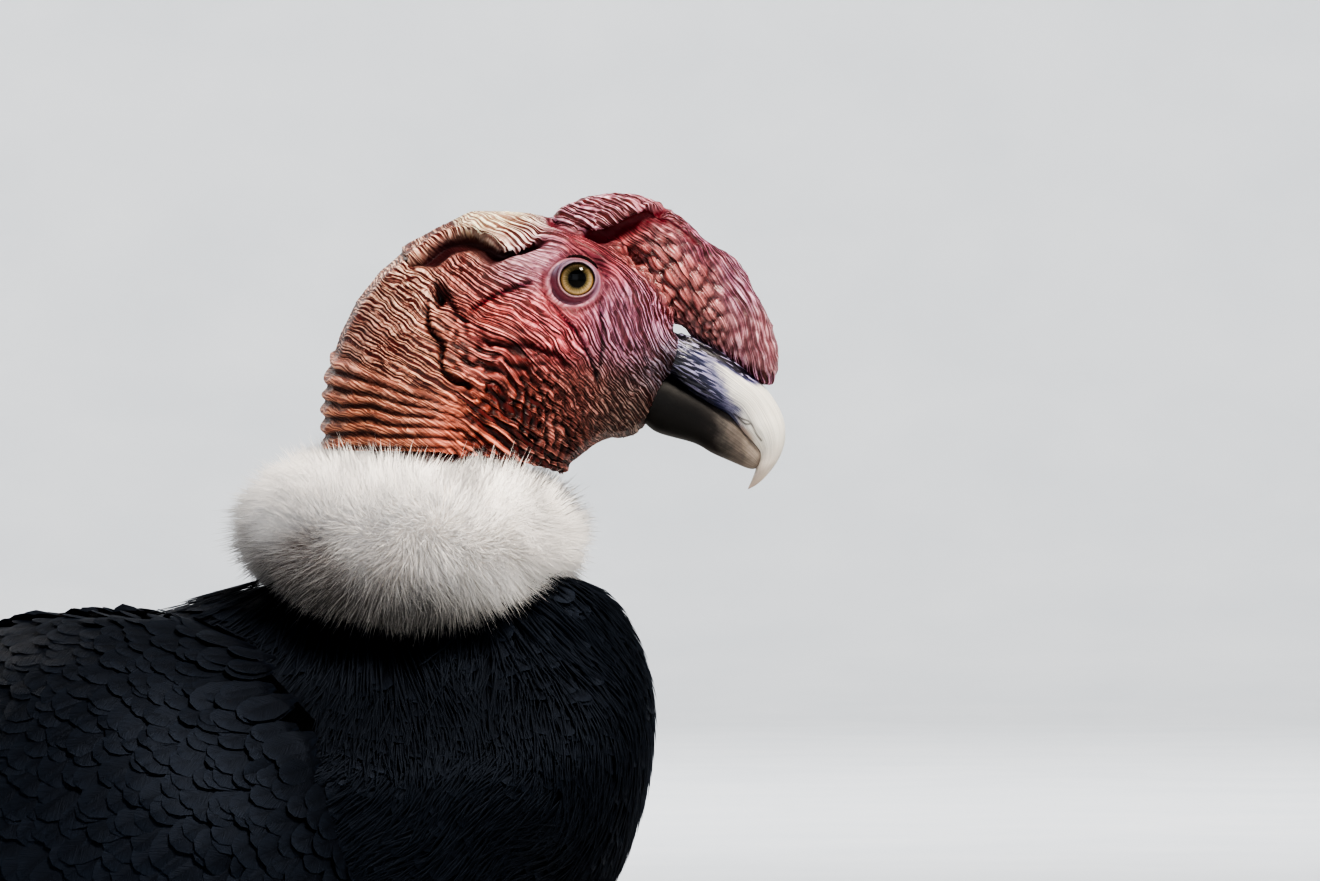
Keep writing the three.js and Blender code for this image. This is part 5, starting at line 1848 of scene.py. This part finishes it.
LONG_ROWS = [
    {
        "count": 19, "first": 0.4, "start": (0.37, 0.02), "end": (0.745, -0.05), "uneven": 0.004,
        "spread": (0.05, 0.9), "lift": ((-5.0, 1.2), (-3.5, 1.5)), "half_width": 17.0,
        "pale": ("#cfcdc9", "#101116"), "tip": 0.93, "roll": -0.16, "seed": 3,
    },
    {
        "count": 24, "first": 0.3, "start": (0.33, 0.01), "end": (0.475, -0.02), "uneven": 0.003,
        "spread": (0.02, 0.96), "lift": ((-3.5, 0), (-0.6, 0.8)), "half_width": 12.5,
        "pale": ("#b9b8b7", "#14161b"), "tip": 0.98, "roll": -0.14, "seed": 4,
    },
    {
        "count": 26, "first": 0.6, "start": (0.29, 0.01), "end": (0.39, -0.01), "uneven": 0.003,
        "spread": (0.01, 0.98), "lift": ((-2.5, 0), (0.4, 0.8)), "half_width": 11.0,
        "roll": -0.14, "seed": 5,
    },
]
LONG_FEATHERS = sum(row["count"] for row in LONG_ROWS)
FLIGHT = 1 - (1 - np.linspace(0, 1, 15, endpoint=False)) ** 1.6
PRIMARY_TIPS = {"count": 6, "reach": 212, "step": 17, "spacing": 10.5, "half_width": 15}
PRIMARY_ROOT = np.array([-466.0, -66.0, -372.0])
PRIMARY_HEADING = unit(np.array([-0.838, 0.08, -0.47]))
PRIMARY_ACROSS = np.array([-0.4, 0.3, 0.86])


def wing_form(hand):
    """The form of one folded wing, from the wrist to the tip. Its section runs from the lower edge to the
    upper one, and `side` is 1 on the outside."""

    def form(share, up, side, inset=0.0):
        rise = (1 + up) / 2
        lean = ROOF_TURN[0] + (ROOF_TURN[1] - ROOF_TURN[0]) * rise
        place = wing_lower(share) + (wing_upper(share) - wing_lower(share)) * rise[..., None]
        outward = wing_bulge(share) * 4 * rise * (1 - rise) * 0.9
        depth = side * np.maximum(wing_depth(share) - inset, 1.0)
        sideways = place[..., 1] - outward - np.cos(lean) * depth
        upwards = place[..., 2] + np.sin(lean) * depth + outward * 0.15
        return np.stack([place[..., 0], -hand * sideways, upwards], -1)

    return form


def lay_flight_feathers(coat, centre, normal, half_width, webs, tint, cells, roll, seed):
    """Lays long stiff feathers with a raised shaft along lines of (n, rings + 1, 3) points. `webs` gives the
    shares of the width on the +side and the -side, and `cells` each feather's strip of the unwrap."""
    draw = np.random.default_rng(seed)
    count = len(centre)
    run = unit(np.gradient(centre, axis=1))
    side = unit(np.cross(normal, run) + normal * roll)
    up = unit(np.cross(run, side))
    shares = FLIGHT[None, :, None]
    rounded = np.sqrt(np.clip(1 - (np.clip(shares - 0.80, 0, 1) / 0.205) ** 2.4, 0, 1))
    shape = (0.35 + 0.65 * ease(shares, 0, 0.14)) * rounded
    ragged = 1 + 0.03 * draw.normal(size=(count, len(FLIGHT), 1))
    width = half_width[:, None, None] * shape * ragged
    shaft = np.maximum(1.0 - 0.75 * shares, 0.2) * np.minimum(half_width[:, None, None] / 18, 1)
    left, right = width * webs[0] * 2, width * webs[1] * 2
    zero = 0 * width
    thick = 0.35 + zero
    across = np.concatenate([
        left, left * 0.5, zero + 0.9 * shaft, zero, zero - 0.9 * shaft, -right * 0.5, -right, zero,
    ], 2)
    above = np.concatenate([
        -0.10 * left, thick - 0.02 * left, thick, thick + 0.8 * shaft, thick, thick - 0.02 * right,
        -0.10 * right, -thick,
    ], 2)
    body = centre[:, :-1, None, :]
    sections = body + side[:, :-1, None, :] * across[..., None] + up[:, :-1, None, :] * above[..., None]
    number = draw.random(count)
    per = len(FLIGHT) * 8 + 1
    length = np.linalg.norm(np.diff(centre, axis=1), axis=2).sum(axis=1)
    vane = np.zeros((count, per, 3))
    vane[:, :-1, 0] = across.reshape(count, -1)
    along = np.append(np.repeat(FLIGHT, 8), 1.0)
    vane[:, :, 1] = along * length[:, None]
    vane[:, :, 2] = number[:, None] * 900
    share = np.zeros((count, per, 1))
    share[:, :-1, 0] = (across / (2 * half_width[:, None, None])).reshape(count, -1)
    colour = tint(share, along[None, :, None], number[:, None, None])
    columns = np.append(np.tile(np.arange(9) / 8, len(FLIGHT)), 0.5)
    rows = np.append(np.repeat(FLIGHT, 9), 1.0)
    first, total = cells
    cell = (first + np.arange(count)) / total
    u = cell[:, None] + (0.05 + 0.9 * columns[None, :]) / total
    v = np.broadcast_to(0.01 + 0.98 * rows, u.shape)
    coat.add(sections, centre[:, -1], np.stack([u, v], 2), colour, vane)


def along_surface(surface, inside, start, end, lift):
    """Lines over a surface from (s, a) starts to ends, at heights over it, with the normals there."""
    centre, normal = [], []
    for t in np.append(FLIGHT, 1.0):
        s, a = (start + (end - start) * t).T
        spot = surface(s, a)
        out = unit(np.cross(*slopes(surface, s, a)))
        out = out * np.sign(((spot - inside(s, a)) * out).sum(axis=1, keepdims=True))
        centre.append(spot + out * (lift[0] + (lift[1] - lift[0]) * t)[:, None])
        normal.append(out)
    return np.stack(centre, 1), np.stack(normal, 1)


def pale_web_tint(pale, dark, hand, tip):
    """Black inner web and tip, silver-white outer web, with a soft border along the shaft."""
    light, black = rgb(pale), rgb(dark)

    def tint(across, along, number):
        outer = ease(-across * hand, 0.00, 0.05) * ease(tip - along, 0.0, 0.05)
        outer = outer * (1 - 0.75 * ease(-across * hand, 0.36, 0.48))
        return (black + (light - black) * outer) * (0.88 + 0.24 * number)

    return tint


primary_tint = feather_tint("#090a0d", "#131519", 0.6)
covert_tint = feather_tint("#07080c", "#10141b", 0.9)
for side, hand in (("right", -1), ("left", 1)):
    form = wing_form(hand)

    def wing_at(share, angle):
        return form(share, np.cos(angle), np.sin(angle))

    def wing_inside(share, angle):
        return form(share, 0 * share, 0 * share)

    wing_core = skin_shell("wing_skin", 40, 32, lambda s, up, out: form(s, up, out, 8.0), "#060608")
    joined_into(head_skin, wing_core)

    s, a = evenly_over(wing_at, COVERTS_PER_WING, (0.004, 0.36), (-0.5, math.pi + 0.7))
    spot = wing_at(s, a)
    visible = ~inside_ruff(spot, 9)
    s, a, spot = s[visible], a[visible], spot[visible]
    draw = np.random.default_rng(51)
    size = np.interp(s, [0, 0.1, 0.36], [24, 32, 50]) * draw.uniform(0.85, 1.15, len(s))
    size = size * (1 - 0.4 * ease(np.abs(np.cos(a)), 0.80, 0.98))
    goal = np.array([-0.80, 0, -0.58]) + 0.07 * draw.normal(size=spot.shape)
    lay_feathers(
        "wing_coverts_" + side, wing_at, wing_inside, s, a, goal, size, size * 0.28, -5.0,
        draw.uniform(-0.9, 0.0, len(s)), covert_tint, 9, 0.06, 0.07,
        unwrap=np.stack([s, a / 7 + 0.2], 1) * 0.9 + 0.05, replaced=("wing_%s_coverts" % side,),
    )

    flight = Coat(8, len(FLIGHT))
    laid = 0
    for row in LONG_ROWS:
        rise = (np.arange(row["count"]) + row["first"]) / row["count"]
        start = np.stack([row["start"][0] + row["start"][1] * rise, np.arccos(2 * rise - 1)], 1)
        reach = row["end"][0] + row["end"][1] * rise + row["uneven"] * draw.normal(size=len(rise))
        low, share = row["spread"]
        end = np.stack([reach, np.arccos(2 * (low + share * rise) - 1)], 1)
        lift = [low + slope * rise for low, slope in row["lift"]]
        centre, normal = along_surface(wing_at, wing_inside, start, end, lift)
        tint = pale_web_tint(*row["pale"], hand=hand, tip=row["tip"]) if "pale" in row else covert_tint
        lay_flight_feathers(
            flight, centre, normal, np.full(len(rise), row["half_width"]), (0.5, 0.5), tint,
            (laid, LONG_FEATHERS), row["roll"] * hand, row["seed"],
        )
        laid += row["count"]
    replaced = ("wing_%s_secondaries" % side,)
    flight.build("wing_secondaries_" + side, feather, replaced, (0, 6))

    flight = Coat(8, len(FLIGHT))
    rise = np.linspace(0.10, 0.93, 8)
    start = np.stack([0.60 + 0 * rise, np.arccos(2 * rise - 1)], 1)
    end = np.stack([0.99 - 0.05 * rise, np.arccos(2 * (0.1 + 0.8 * rise) - 1)], 1)
    centre, normal = along_surface(wing_at, wing_inside, start, end, (-6.0 + 1.0 * rise, -1.5 + 1.0 * rise))
    lay_flight_feathers(
        flight, centre, normal, np.full(len(rise), 15.0), (0.35, 0.65)[::hand], primary_tint,
        (0, 8 + PRIMARY_TIPS["count"]), roll=-0.16 * hand, seed=6,
    )
    out = unit(np.cross(PRIMARY_HEADING, PRIMARY_ACROSS))
    across = np.cross(out, PRIMARY_HEADING)
    number = np.arange(PRIMARY_TIPS["count"])
    reach = PRIMARY_TIPS["reach"] - PRIMARY_TIPS["step"] * number
    stops = np.append(FLIGHT, 1.0)
    run = -30 + (reach + 30)[:, None] * stops
    rise = number[:, None] * PRIMARY_TIPS["spacing"] * (0.75 + 0.25 * stops)
    centre = PRIMARY_ROOT + PRIMARY_HEADING * run[..., None] + across * rise[..., None]
    out = out * np.sign(-out[1])
    centre = centre + out * (2.6 - 1.0 * number[:, None, None])
    centre = centre * [1, -hand, 1]
    normal = np.broadcast_to(out * [1, -hand, 1], centre.shape)
    lay_flight_feathers(
        flight, centre, normal, np.full(len(number), float(PRIMARY_TIPS["half_width"])),
        (0.38, 0.62)[::hand], primary_tint, (8, 8 + PRIMARY_TIPS["count"]), roll=-0.05 * hand, seed=7,
    )
    replaced = ("wing_%s_primaries" % side,)
    flight.build("wing_primaries_" + side, feather, replaced, (0, 6))

# The tail: twelve long black feathers that fall away from the middle pair like a low roof, with a cone of
# coverts over and under their roots.
TAIL_ROOT = np.array([-352.0, 0.0, -264.0])
TAIL_PITCH = 0.63
TAIL_DROOP = 0.16
TAIL_LENGTH = 328.0
TAIL_STEP = 3.0
TAIL_SPACING = 11.5
TAIL_HALF_WIDTH = 26.0
cone_top = rail((-330, -215), (-400, -282), (-450, -330), (-490, -368))
cone_under = rail((-330, -310), (-400, -332), (-450, -358), (-490, -384))
cone_width = between((0, 62), (0.5, 52), (1, 34))


def cone_at(share, angle):
    return two_edges(cone_top, cone_under, cone_width, share, np.cos(angle), np.sin(angle))


def cone_inside(share, angle):
    return two_edges(cone_top, cone_under, cone_width, share, 0 * share, 0 * share)


tail_coat = Coat(8, len(FLIGHT))
heading = np.array([-math.cos(TAIL_PITCH), 0, -math.sin(TAIL_PITCH)])
for hand in (-1, 1):
    number = np.arange(6)
    across = np.array([0, hand * math.cos(TAIL_DROOP), -math.sin(TAIL_DROOP)])
    up = unit(np.cross(heading, across)) * -hand
    up = up * np.sign(up[2])
    stops = np.append(FLIGHT, 1.0)
    run = 20 + (TAIL_LENGTH - TAIL_STEP * number - 20)[:, None] * stops
    aside = (number[:, None] * TAIL_SPACING + TAIL_SPACING / 2) * (0.35 + 0.65 * stops)
    lift = up * (3.2 - 1.3 * number)[:, None, None]
    centre = TAIL_ROOT + heading * run[..., None] + across * aside[..., None] + lift
    normal = np.broadcast_to(up, centre.shape)
    lay_flight_feathers(
        tail_coat, centre, normal, np.full(6, TAIL_HALF_WIDTH), (0.4, 0.6)[::hand],
        primary_tint, (6 * (hand > 0), 12), roll=0.02 * hand, seed=12 + hand,
    )
tail_coat.build("tail_feathers", feather, ("tail",), (0, 6))

s, a = evenly_over(cone_at, 520, (0.02, 0.97))
spot = cone_at(s, a)
draw = np.random.default_rng(61)
size = np.interp(s, [0, 1], [48, 66]) * draw.uniform(0.85, 1.15, len(s))
lay_feathers(
    "tail_coverts", cone_at, cone_inside, s, a, heading + 0.06 * draw.normal(size=spot.shape), size,
    size * 0.24, -6.0, draw.uniform(-1.0, 0.6, len(s)), black_tint, 14,
)
